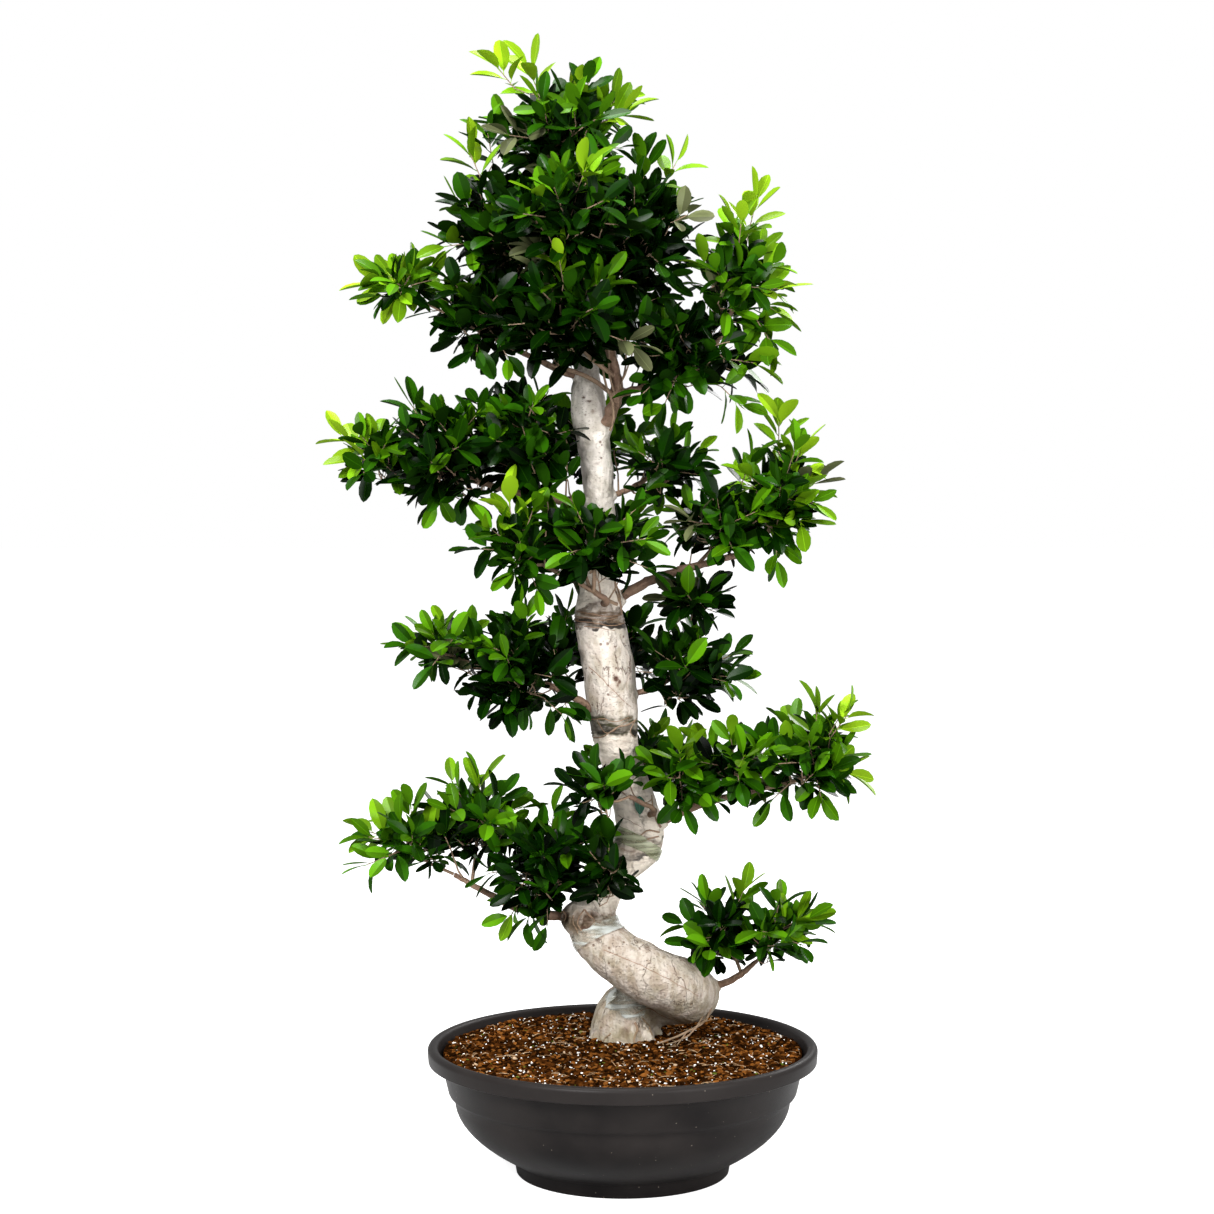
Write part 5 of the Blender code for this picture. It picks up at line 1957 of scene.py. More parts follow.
@dataclass(frozen=True)
class Room:
    """Where one mass of foliage grows: its limb, how far along, its ellipsoid, and how fresh and how lit its
    leaves are painted.
    """

    name: str
    tier: Tier
    limb: str
    along: float
    centre: tuple
    half: tuple
    fresh: float


ROOMS = [
    Room("foliage_low_right_outer", Tier.LOW, "bough_low_right", 1.0,
         (0.234, 0.026, 0.366), (0.066, 0.08, 0.054), 0.42),
    Room("foliage_low_right_inner", Tier.LOW, "bough_low_right", 0.62,
         (0.16, 0.05, 0.36), (0.062, 0.078, 0.066), 0.28),
    Room("foliage_low_left_tip", Tier.LOW, "bough_low_left", 1.0,
         (-0.326, 0.0, 0.508), (0.072, 0.08, 0.038), 0.46),
    Room("foliage_low_left_top", Tier.LOW, "bough_low_left", 0.84,
         (-0.226, 0.01, 0.542), (0.07, 0.094, 0.07), 0.36),
    Room("foliage_low_left_inner", Tier.LOW, "bough_low_left", 0.45,
         (-0.118, 0.0, 0.48), (0.086, 0.105, 0.086), 0.25),
    Room("foliage_low_front", Tier.LOW, "trunk", 0.436,
         (-0.02, -0.042, 0.468), (0.056, 0.062, 0.08), 0.1),
    Room("foliage_second_right_tip", Tier.SECOND, "bough_second_right", 1.0,
         (0.296, 0.02, 0.638), (0.082, 0.086, 0.082), 0.45),
    Room("foliage_second_right_mid", Tier.SECOND, "bough_second_right", 0.76,
         (0.178, 0.03, 0.624), (0.076, 0.098, 0.052), 0.35),
    Room("foliage_second_right_inner", Tier.SECOND, "bough_second_right", 0.42,
         (0.092, 0.04, 0.608), (0.054, 0.082, 0.042), 0.35),
    Room("foliage_second_front", Tier.SECOND, "bough_second_front", 1.0,
         (-0.026, -0.04, 0.592), (0.06, 0.06, 0.042), 0.15),
    Room("foliage_second_back", Tier.SECOND, "trunk", 0.6,
         (0.04, 0.172, 0.616), (0.08, 0.085, 0.052), 0.35),
    Room("foliage_third_left_tip", Tier.THIRD, "bough_third_left", 1.0,
         (-0.274, 0.0, 0.814), (0.058, 0.072, 0.032), 0.42),
    Room("foliage_third_left_mid", Tier.THIRD, "bough_third_left", 0.7,
         (-0.172, 0.0, 0.783), (0.08, 0.105, 0.094), 0.15),
    Room("foliage_third_left_inner", Tier.THIRD, "bough_third_left", 0.38,
         (-0.104, 0.06, 0.799), (0.048, 0.085, 0.07), 0.2),
    Room("foliage_third_right", Tier.THIRD, "bough_third_right", 1.0,
         (0.104, 0.05, 0.772), (0.084, 0.094, 0.074), 0.24),
    Room("foliage_third_back", Tier.THIRD, "trunk", 0.78,
         (-0.02, 0.178, 0.793), (0.088, 0.085, 0.06), 0.3),
    Room("foliage_fourth_right_tip", Tier.FOURTH, "bough_fourth_right", 1.0,
         (0.24, 0.018, 1.046), (0.058, 0.082, 0.104), 0.54),
    Room("foliage_fourth_right_mid", Tier.FOURTH, "bough_fourth_right", 0.7,
         (0.154, 0.02, 1.002), (0.076, 0.1, 0.06), 0.32),
    Room("foliage_fourth_right_low", Tier.FOURTH, "bough_fourth_right", 0.48,
         (0.11, 0.0, 0.884), (0.034, 0.052, 0.028), 0.1),
    Room("foliage_fourth_front", Tier.FOURTH, "bough_fourth_front", 0.62,
         (-0.045, -0.08, 0.975), (0.11, 0.074, 0.066), 0.3),
    Room("foliage_fourth_front_left", Tier.FOURTH, "bough_fourth_front", 1.0,
         (-0.158, -0.048, 0.968), (0.06, 0.07, 0.076), 0.44),
    Room("foliage_fourth_back", Tier.FOURTH, "trunk", 0.96,
         (-0.04, 0.16, 0.975), (0.095, 0.088, 0.058), 0.35),
    Room("foliage_fifth_left_tip", Tier.FIFTH, "bough_fifth_left", 1.0,
         (-0.376, 0.0, 1.109), (0.07, 0.078, 0.041), 0.46),
    Room("foliage_fifth_left_mid", Tier.FIFTH, "bough_fifth_left", 0.76,
         (-0.278, 0.0, 1.112), (0.088, 0.11, 0.104), 0.21),
    Room("foliage_fifth_left_inner", Tier.FIFTH, "bough_fifth_left", 0.42,
         (-0.162, 0.006, 1.13), (0.088, 0.12, 0.1), 0.15),
    Room("foliage_fifth_right", Tier.FIFTH, "bough_fifth_right", 1.0,
         (0.064, 0.048, 1.09), (0.06, 0.086, 0.056), 0.28),
    Room("foliage_fifth_back", Tier.FIFTH, "trunk", 1.11,
         (-0.045, 0.16, 1.127), (0.09, 0.085, 0.06), 0.3),
    Room("crown_left_tip", Tier.CROWN_WINGS, "bough_crown_left", 1.0,
         (-0.336, 0.0, 1.37), (0.05, 0.056, 0.024), 0.6),
    Room("crown_left_wing", Tier.CROWN_WINGS, "bough_crown_left", 0.72,
         (-0.216, 0.0, 1.33), (0.084, 0.1, 0.074), 0.2),
    Room("crown_right_wing", Tier.CROWN_WINGS, "bough_crown_right", 0.66,
         (0.098, 0.0, 1.27), (0.102, 0.106, 0.086), 0.22),
    Room("crown_right_tip", Tier.CROWN_WINGS, "bough_crown_right", 1.0,
         (0.172, 0.0, 1.372), (0.063, 0.083, 0.112), 0.66),
    Room("crown_low_front", Tier.CROWN, "leader", 0.36,
         (-0.08, -0.09, 1.315), (0.112, 0.088, 0.088), 0.18),
    Room("crown_low_back", Tier.CROWN, "trunk", 1.285,
         (-0.06, 0.142, 1.325), (0.118, 0.092, 0.086), 0.25),
    Room("crown_left", Tier.CROWN, "leader", 0.66,
         (-0.178, -0.005, 1.444), (0.086, 0.122, 0.114), 0.22),
    Room("crown_right", Tier.CROWN, "leader", 0.66,
         (0.018, -0.005, 1.44), (0.096, 0.125, 0.126), 0.2),
    Room("crown_front", Tier.CROWN, "leader", 0.74,
         (-0.085, -0.135, 1.46), (0.094, 0.088, 0.096), 0.25),
    Room("crown_back", Tier.CROWN, "leader", 0.74,
         (-0.085, 0.132, 1.465), (0.094, 0.088, 0.096), 0.3),
    Room("crown_top", Tier.CROWN, "leader", 1.0,
         (-0.1, 0.0, 1.59), (0.102, 0.116, 0.114), 0.42),
]


@dataclass(frozen=True)
class LeafShape:
    """One pattern of leaf: its fold along the midrib, arch, twist, breadth, bluntness and lit half."""

    fold: float
    arch: float
    twist: float
    breadth: float
    blunt: float
    lit: str = ""


LEAF_SHAPES = [
    LeafShape(0.2, 0.14, 0.0, 0.47, 0.5, "left"),
    LeafShape(0.34, 0.2, 0.12, 0.48, 0.44),
    LeafShape(0.14, 0.06, -0.1, 0.51, 0.54, "right"),
    LeafShape(0.4, -0.05, 0.08, 0.44, 0.42),
    LeafShape(0.26, 0.26, -0.06, 0.5, 0.48, "right"),
    LeafShape(0.48, 0.1, 0.05, 0.42, 0.4, "left"),
    LeafShape(0.18, -0.08, 0.14, 0.48, 0.48),
]
# The stations along a leaf and its half widths there
LEAF_STATIONS = (0.0, 0.11, 0.30, 0.54, 0.77, 0.93, 1.0)
# As shares of the greatest: the one near the tip is left to the leaf's own bluntness
LEAF_HALF_WIDTHS = (0.07, 0.42, 0.82, 1.0, 0.86, None, 0.0)
RIB_HALF_WIDTH = 0.0095
LEAF_THICKNESS = 0.010
STALK_LENGTH = 0.16
STALK_RADIUS = 0.015


def leaf_template(shape: LeafShape) -> Template:
    """A leaf of length one along X, its upper side to +Z: upper side, midrib, underside and stalk.

    Args:
        shape: How the leaf is bent.

    Returns:
        The leaf, with slots 0 to 3 for its upper side, midrib, underside and lit half.
    """
    points: list[tuple] = []
    rows = []
    for along, wide in zip(LEAF_STATIONS, LEAF_HALF_WIDTHS):
        half = (shape.blunt if wide is None else wide) * shape.breadth / 2
        drop = -shape.arch * along**2
        turn = shape.twist * along
        rib = min(RIB_HALF_WIDTH, half * 0.4)
        row = []
        for across in (-half, -rib, rib, half) if half else (0.0,):
            lift = abs(across) * shape.fold
            row.append(len(points))
            points.append((along, across * math.cos(turn), drop + lift + across * math.sin(turn)))
        if half:
            row.append(len(points))
            points.append((along, 0.0, drop - LEAF_THICKNESS))
        rows.append(row)
    faces, slots = [], []
    left_slot = 3 if shape.lit == "left" else 0
    right_slot = 3 if shape.lit == "right" else 0
    sides = ((0, 1, left_slot), (1, 2, 1), (2, 3, right_slot), (4, 0, 2), (3, 4, 2))
    for low, high in zip(rows, rows[1:]):
        for left, right, slot in sides:
            if len(high) == 1:
                faces.append((low[right], low[left], high[0]))
                slots.append(slot)
                continue
            faces.append((low[right], low[left], high[left]))
            faces.append((low[right], high[left], high[right]))
            slots.extend([slot, slot])
    first = len(points)
    for along, radius in ((-STALK_LENGTH, STALK_RADIUS), (0.03, STALK_RADIUS * 0.8)):
        for step in range(3):
            turn = math.tau * step / 3
            points.append((along, math.cos(turn) * radius, math.sin(turn) * radius - 0.006))
    for step in range(3):
        after = (step + 1) % 3
        faces.append((first + step, first + after, first + 3 + after))
        faces.append((first + step, first + 3 + after, first + 3 + step))
        slots.extend([1, 1])
    return Template(np.array(points), np.array(faces), np.array(slots))


def bud_template() -> Template:
    """A slim pointed bud of length one along X."""
    batch = Batch()
    line = [Vector((0.0, 0.0, 0.0)), Vector((0.45, 0.0, 0.0)), Vector((1.0, 0.02, 0.05))]
    batch.tube(line, [0.10, 0.075, 0.004], 4, 0)
    return Template(batch.points[0], batch.faces[0], batch.slots[0])


@dataclass(frozen=True)
class Sprig:
    """A long young shoot out of the outline: its tip, how many and how long its leaves are, and how fresh and
    how lit they are painted.
    """

    tip: tuple
    leaves: int
    leaf: float
    fresh: float


SPRIGS = {
    "crown_top": (
        Sprig((-0.142, -0.01, 1.698), 6, 0.056, 0.95),
        Sprig((-0.19, -0.02, 1.7), 6, 0.05, 0.9),
        Sprig((-0.066, 0.0, 1.66), 6, 0.05, 0.85),
        Sprig((0.004, -0.02, 1.634), 7, 0.052, 0.88),
        Sprig((-0.01, 0.03, 1.658), 6, 0.05, 0.8),
    ),
    "crown_right": (
        Sprig((0.08, -0.01, 1.556), 6, 0.046, 0.85),
        Sprig((0.034, -0.01, 1.56), 7, 0.05, 0.45),
    ),
    "crown_left": (
        Sprig((-0.232, -0.03, 1.57), 7, 0.052, 0.8),
        Sprig((-0.206, -0.01, 1.602), 7, 0.05, 0.4),
        Sprig((-0.246, -0.01, 1.49), 6, 0.047, 0.6),
        Sprig((-0.266, -0.03, 1.43), 6, 0.05, 0.62),
    ),
    "crown_front": (
        Sprig((-0.056, -0.18, 1.528), 6, 0.05, 0.7),
        Sprig((-0.122, -0.175, 1.492), 6, 0.048, 0.6),
    ),
    "crown_low_front": (
        Sprig((-0.094, -0.16, 1.397), 6, 0.048, 0.72),
    ),
    "crown_left_tip": (
        Sprig((-0.376, 0.0, 1.374), 7, 0.054, 0.95),
        Sprig((-0.338, -0.04, 1.356), 6, 0.048, 0.66),
    ),
    "crown_left_wing": (
        Sprig((-0.222, -0.05, 1.268), 6, 0.046, 0.3),
        Sprig((-0.176, -0.04, 1.262), 6, 0.046, 0.28),
    ),
    "crown_right_tip": (
        Sprig((0.204, 0.0, 1.5), 8, 0.05, 0.95),
        Sprig((0.166, -0.02, 1.466), 6, 0.047, 0.75),
        Sprig((0.236, -0.02, 1.366), 8, 0.048, 0.82),
        Sprig((0.232, 0.01, 1.336), 7, 0.048, 0.78),
        Sprig((0.226, -0.01, 1.286), 7, 0.048, 0.6),
    ),
    "crown_right_wing": (
        Sprig((0.2, -0.01, 1.254), 7, 0.052, 0.66),
        Sprig((0.178, -0.02, 1.19), 6, 0.048, 0.58),
        Sprig((0.03, -0.05, 1.206), 6, 0.046, 0.3),
        Sprig((0.064, -0.04, 1.192), 6, 0.046, 0.32),
    ),
    "foliage_fifth_left_tip": (
        Sprig((-0.43, 0.0, 1.138), 7, 0.046, 0.92),
        Sprig((-0.404, -0.03, 1.104), 6, 0.046, 0.8),
    ),
    "foliage_fifth_left_mid": (
        Sprig((-0.284, -0.02, 1.044), 6, 0.042, 0.4),
        Sprig((-0.238, -0.01, 1.042), 6, 0.046, 0.35),
    ),
    "foliage_fourth_right_tip": (
        Sprig((0.276, 0.0, 1.124), 7, 0.05, 0.9),
        Sprig((0.24, 0.0, 1.164), 7, 0.05, 0.78),
        Sprig((0.236, -0.01, 0.956), 6, 0.046, 0.45),
        Sprig((0.274, 0.01, 1.066), 7, 0.048, 0.78),
        Sprig((0.272, -0.02, 1.01), 6, 0.05, 0.75),
    ),
    "foliage_fourth_right_mid": (
        Sprig((0.2, 0.0, 1.108), 7, 0.048, 0.45),
    ),
    "foliage_fourth_front_left": (
        Sprig((-0.172, -0.08, 1.038), 7, 0.054, 0.93),
        Sprig((-0.164, -0.05, 0.934), 6, 0.046, 0.4),
        Sprig((-0.132, -0.06, 0.914), 6, 0.046, 0.3),
    ),
    "foliage_fourth_front": (
        Sprig((-0.106, -0.05, 0.93), 6, 0.044, 0.25),
    ),
    "foliage_third_left_tip": (
        Sprig((-0.32, 0.0, 0.822), 6, 0.048, 0.66),
    ),
    "foliage_third_left_mid": (
        Sprig((-0.15, -0.02, 0.728), 6, 0.044, 0.3),
        Sprig((-0.094, -0.03, 0.716), 6, 0.044, 0.25),
    ),
    "foliage_third_left_inner": (
        Sprig((-0.086, 0.01, 0.716), 6, 0.044, 0.25),
    ),
    "foliage_third_right": (
        Sprig((0.174, 0.03, 0.768), 6, 0.048, 0.5),
    ),
    "foliage_second_right_tip": (
        Sprig((0.352, 0.02, 0.618), 7, 0.052, 0.9),
        Sprig((0.346, -0.01, 0.712), 7, 0.05, 0.82),
        Sprig((0.3, 0.0, 0.716), 7, 0.05, 0.72),
        Sprig((0.232, 0.0, 0.58), 6, 0.044, 0.4),
        Sprig((0.306, -0.01, 0.586), 6, 0.044, 0.5),
    ),
    "foliage_second_right_mid": (
        Sprig((0.186, -0.04, 0.652), 6, 0.048, 0.66),
    ),
    "foliage_low_left_inner": (
        Sprig((-0.206, -0.03, 0.47), 6, 0.046, 0.35),
        Sprig((-0.172, -0.046, 0.408), 5, 0.046, 0.62),
        Sprig((-0.146, -0.03, 0.398), 6, 0.046, 0.35),
        Sprig((-0.116, -0.03, 0.392), 5, 0.044, 0.3),
    ),
    "foliage_low_right_inner": (
        Sprig((0.136, -0.006, 0.348), 6, 0.046, 0.4),
        Sprig((0.13, 0.01, 0.362), 5, 0.044, 0.55),
        Sprig((0.19, 0.04, 0.432), 7, 0.048, 0.66),
    ),
    "foliage_second_right_inner": (
        Sprig((0.092, -0.01, 0.57), 6, 0.046, 0.35),
        Sprig((0.088, -0.026, 0.656), 6, 0.05, 0.72),
    ),
    "foliage_low_left_top": (
        Sprig((-0.222, 0.0, 0.606), 6, 0.056, 0.6),
    ),
    "foliage_low_left_tip": (
        Sprig((-0.392, 0.0, 0.53), 6, 0.048, 0.8),
        Sprig((-0.328, 0.0, 0.566), 6, 0.046, 0.55),
        Sprig((-0.394, -0.02, 0.482), 6, 0.046, 0.45),
    ),
    "foliage_low_right_outer": (
        Sprig((0.276, 0.01, 0.392), 7, 0.05, 0.8),
    ),
}


@dataclass
class Twig:
    """One node of the branching: where it is, the node that it grows from, and how many tips it feeds."""

    place: Vector
    parent: int
    tips: int = 0


@dataclass
class Shoot:
    """A leafy twig end: where it starts, the way it points, its length, how fresh and how lit its leaves are
    painted, and its leaves.
    """

    start: Vector
    way: Vector
    length: float
    fresh: float
    leaves: int
    leaf: float
    free: bool = False


CAMERA_PLACE = (-0.0243, -4.0, 1.097)
TRUNK_AXIS = (-0.03, 0.05)
# The stretches of trunk that stay bare in front: left, right, low and high
BARE_TRUNK = (
    (-0.075, 0.06, 0.21, 0.372),
    (0.06, 0.125, 0.21, 0.3),
    (-0.1, 0.0, 0.345, 0.425),
    (0.03, 0.07, 0.345, 0.52),
    (-0.01, 0.066, 0.478, 0.602),
    (-0.056, 0.024, 0.668, 0.752),
    (-0.074, 0.026, 0.74, 0.905),
    (-0.066, 0.0, 0.9, 0.932),
    (-0.056, -0.01, 1.045, 1.13),
    (-0.088, -0.022, 1.165, 1.248),
)
# The least and the greatest x, y and z of a long shoot's tip
SHOOT_LIMITS = ((-0.415, 0.345), (-0.250, 0.255), (0.300, 1.690))


class Spots:
    """Places that keep a distance from one another, sorted into cells so that near ones are found at once."""

    def __init__(self, spacing: float) -> None:
        """Start with no places.

        Args:
            spacing: The least distance between two of them.
        """
        self.spacing = spacing
        self.cells: dict[tuple, list[Vector]] = {}

    def cell(self, place: Vector) -> tuple:
        """The cell that a place is in."""
        return tuple(int(math.floor(value / self.spacing)) for value in place)

    def take(self, place: Vector, share: float = 1.0) -> bool:
        """Keep a place unless another is too near.

        Args:
            place: The place.
            share: The share of the spacing that it has to keep.

        Returns:
            Whether it was kept.
        """
        x, y, z = self.cell(place)
        limit = self.spacing * share
        for i in (x - 1, x, x + 1):
            for j in (y - 1, y, y + 1):
                for k in (z - 1, z, z + 1):
                    if any((place - other).length < limit for other in self.cells.get((i, j, k), ())):
                        return False
        self.cells.setdefault((x, y, z), []).append(place)
        return True


def depth_in(room: Room, place: Vector) -> float:
    """How far out in a room a place is: 0 in the middle and 1 at the edge."""
    return math.sqrt(sum(((p - c) / h) ** 2 for p, c, h in zip(place, room.centre, room.half)))


def in_rooms(place: Vector, edge: float) -> bool:
    """Whether a place keeps to the rooms, grown by a share."""
    return any(depth_in(room, place) < edge for room in ROOMS)


def hides_trunk(place: Vector) -> bool:
    """Whether something at a place would stand in front of a stretch of trunk that is left bare."""
    if place.y > TRUNK_AXIS[1]:
        return False
    near = CAMERA_PLACE[1] / (CAMERA_PLACE[1] - place.y)
    x = CAMERA_PLACE[0] + (place.x - CAMERA_PLACE[0]) * near
    z = CAMERA_PLACE[2] + (place.z - CAMERA_PLACE[2]) * near
    return any(left < x < right and low < z < high for left, right, low, high in BARE_TRUNK)


def random_way(rng: random.Random) -> Vector:
    """A direction, all being as likely."""
    return Vector([rng.gauss(0, 1) for _ in range(3)]).normalized()


class Growth:
    """The branching of one room: a stem from its limb, even twigs from its middle, then finer ones."""

    main_twigs = 7
    main_reach = 0.55
    main_least = 0.012
    tip_radius = 0.0010
    thickening = 0.40
    rosette = 0.031
    rosette_step = 0.006
    tries = 700
    inner_share = 0.42
    crowding = 0.38
    long_shoots = 10
    long_step = 0.0066
    open_below = -0.30
    open_share = 0.35
    limb_from = 0.3
    limb_near = 1.35
    hub_pull = 0.62
    trunk_pull = 0.46
    up_pull = 0.32
    front_pull = Vector((0.0, -0.10, 0.0))
    chance_pull = 0.40
    near_trunk = 0.15

    def __init__(self, room: Room, limbs: Limbs, spots: Spots) -> None:
        """Start the growth of a room.

        Args:
            room: The room.
            limbs: The limbs' middle lines.
            spots: The rosettes that other rooms have grown.
        """
        self.room = room
        self.line = limbs.lines[room.limb]
        self.spots = spots
        self.rng = random.Random(f"{SEED} {room.name}")
        self.centre = Vector(room.centre)
        self.half = Vector(room.half)
        self.hub = self.centre - UP * self.half.z * 0.25
        self.twigs: list[Twig] = []
        self.shoots: list[Shoot] = []

    def reach(self, start: Vector, way: Vector) -> float:
        """How far a line goes from a place in the room before it leaves the room.

        Args:
            start: The place.
            way: The direction.

        Returns:
            The distance.
        """
        scaled = Vector(o / h for o, h in zip(start - self.centre, self.half))
        step = Vector(d / h for d, h in zip(way, self.half))
        a, b, c = step.length_squared, scaled.dot(step), scaled.length_squared - 1.0
        return max((math.sqrt(max(b * b - a * c, 0.0)) - b) / a, 0.0)

    def seat(self) -> Vector:
        """Where the stem leaves its limb: at a height of the trunk, or at a share of a bough."""
        if self.room.limb == "trunk":
            return point_at_height(self.line, self.room.along).to_3d()
        return place_along(self.line, self.room.along)[0]

    def grow(self) -> None:
        """Grow the stem, the main twigs and the shoots."""
        start = self.seat()
        sway = Vector((self.rng.uniform(-1, 1), self.rng.uniform(-1, 1), -0.4)) * 0.006
        self.twigs = [Twig(start, -1), Twig(start.lerp(self.hub, 0.5) + sway, 0), Twig(self.hub, 1)]
        self.add_bough_points()
        for way in even_directions(self.main_twigs, self.rng.uniform(0, math.tau)):
            span = self.reach(self.hub, way) - 2 * self.rosette
            if span > self.main_least:
                self.twigs.append(Twig(self.hub + way * span * self.main_reach, 2))
        for sprig in SPRIGS.get(self.room.name, ()):
            self.add_sprig(sprig)
        self.add_long_shoots()
        for place in self.places():
            self.add_shoot(place)
        self.count_tips()

    def add_bough_points(self) -> None:
        """Let twigs grow straight from the bough where it runs through the room or near it."""
        if self.room.limb == "trunk":
            return
        for number, knot in enumerate(self.line):
            place = knot.to_3d()
            if number > len(self.line) * self.limb_from and depth_in(self.room, place) < self.limb_near:
                self.twigs.append(Twig(place, -1))

    def places(self) -> list[Vector]:
        """The middles of the rosettes: spread through the room, apart from one another, nearest first."""
        found = []
        for _ in range(self.tries):
            way = random_way(self.rng)
            edge = self.reach(self.centre, way) * self.lobe(way)
            far = max(edge - self.rosette, edge * self.inner_share)
            place = self.centre + way * far * self.rng.random() ** self.crowding
            low = (place.z - self.centre.z) / self.half.z < self.open_below
            if hides_trunk(place) or (low and self.rng.random() < self.open_share):
                continue
            if self.spots.take(place):
                found.append(place)
        return sorted(found, key=lambda place: (place - self.hub).length)

    def lobe(self, way: Vector) -> float:
        """How far out the leaves go in a direction, as a share of the room: sprays stand out, gaps run in."""
        return 0.92 + 0.42 * noise.noise(way * 1.9 + self.centre * 37.0)

    def add_long_shoots(self) -> None:
        """Grow shoots that stand out of the room, more of them to its sides and its top than below it."""
        for way in even_directions(self.long_shoots, self.rng.uniform(0, math.tau)):
            way = Vector((way.x, way.y, way.z * 0.50 + 0.28)).normalized()
            tip = self.centre + way * self.reach(self.centre, way) * self.rng.uniform(0.88, 1.04)
            inside = all(low < value < high for value, (low, high) in zip(tip, SHOOT_LIMITS))
            covered = any(depth_in(room, tip) < 0.9 for room in ROOMS if room is not self.room)
            if covered or not inside or hides_trunk(tip):
                continue
            fresh = self.room.fresh * 0.85 + 0.18 * way.z + self.rng.uniform(-0.16, 0.22)
            leaves = self.rng.choice((5, 6, 7))
            self.add_sprig(Sprig(tuple(tip), leaves, self.rng.uniform(0.039, 0.048), fresh))

    def nearest_twig(self, place: Vector) -> int:
        """The number of the twig that a shoot at a place grows from."""
        away = (place - self.hub).length
        best, least = 2, math.inf
        for number, twig in enumerate(self.twigs):
            out = (twig.place - self.hub).length
            if number < 2 or (twig.parent >= 0 and out > away):
                continue
            cost = (twig.place - place).length + 0.25 * out
            if cost < least:
                best, least = number, cost
        return best

    def add_branch(self, stop: Vector) -> None:
        """Grow a twig, with a bend in it, to a place from the nearest one.

        Args:
            stop: The place.
        """
        best = self.nearest_twig(stop)
        self.twigs.append(Twig(sagged(self.twigs[best].place, stop, self.rng, 0.06), best))
        self.twigs.append(Twig(stop, len(self.twigs) - 1))

    def add_shoot(self, place: Vector) -> None:
        """Grow a shoot whose rosette has its middle at a place.

        Args:
            place: The middle of the rosette.
        """
        rng = self.rng
        offset = place - self.hub
        out = offset.normalized() if offset.length > 0.004 else UP.copy()
        off_trunk = Vector((place.x - TRUNK_AXIS[0], place.y - TRUNK_AXIS[1], 0.0))
        off_trunk = off_trunk.normalized() * min(off_trunk.length / self.near_trunk, 1.0)
        way = out * self.hub_pull + off_trunk * self.trunk_pull + UP * self.up_pull + self.front_pull
        way = (way + random_way(rng) * self.chance_pull).normalized()
        leaves = rng.choice((5, 6, 6, 7, 7))
        length = leaves * rng.uniform(0.0032, 0.0056)
        start = place - way * (length + self.rosette_step)
        self.add_branch(start)
        # Painted shade as well as freshness: leaves deep inside the room get darker tones, those near its
        # edge and top lighter ones
        depth = min(depth_in(self.room, place + out * self.rosette), 1.0)
        height = (place.z - self.centre.z) / self.half.z
        fresh = self.room.fresh * (0.10 + 0.75 * depth**2) + 0.14 * height
        fresh += 0.30 * noise.noise(place * 13.0) + rng.uniform(-0.18, 0.18)
        self.shoots.append(Shoot(start, way, length, fresh, leaves, rng.uniform(0.039, 0.053)))

    def add_sprig(self, sprig: Sprig) -> None:
        """Grow a long shoot to a place out of the outline.

        Args:
            sprig: The shoot.
        """
        tip = Vector(sprig.tip)
        way = (tip - self.centre.lerp(tip, 0.55)).normalized()
        length = sprig.leaves * self.long_step
        foot = tip - way * length
        self.add_branch(foot)
        self.spots.take(tip, 0.6)
        self.shoots.append(Shoot(foot, way, length, sprig.fresh, sprig.leaves, sprig.leaf, True))

    def count_tips(self) -> None:
        """Count the tips that every twig feeds, from the ends back to the stem."""
        feeds = {twig.parent for twig in self.twigs}
        for number in range(3, len(self.twigs)):
            if number in feeds or self.twigs[number].parent < 0:
                continue
            step = number
            while step >= 0:
                self.twigs[step].tips += 1
                step = self.twigs[step].parent

    def radius(self, twig: Twig) -> float:
        """The radius of a twig, from the number of tips that it feeds."""
        return self.tip_radius * max(twig.tips, 1) ** self.thickening

    def add_wood(self, batch: Batch) -> None:
        """Add the stem and the twigs.

        Args:
            batch: The tier's wood.
        """
        for twig in self.twigs:
            parent = self.twigs[twig.parent]
            if twig.parent < 0 or twig.tips == 0 or (twig.place - parent.place).length < 0.001:
                continue
            thin = self.radius(twig)
            thick = min(self.radius(parent), thin * 1.3) if parent.tips else thin * 1.3
            line = [parent.place, parent.place.lerp(twig.place, 0.5), twig.place]
            batch.tube(line, [thick, (thick + thin) / 2, thin], 6 if thin > 0.0020 else 4)


def sagged(start: Vector, stop: Vector, rng: random.Random, sag: float) -> Vector:
    """The middle of a twig that bends a little by chance and sags a little.

    Args:
        start: Where it starts.
        stop: Where it ends.
        rng: The source of chance.
        sag: How far it sags, as a share of its length.

    Returns:
        Its middle.
    """
    span = (stop - start).length
    return start.lerp(stop, 0.5) + random_vector(rng, 1) * span * 0.10 - UP * span * sag


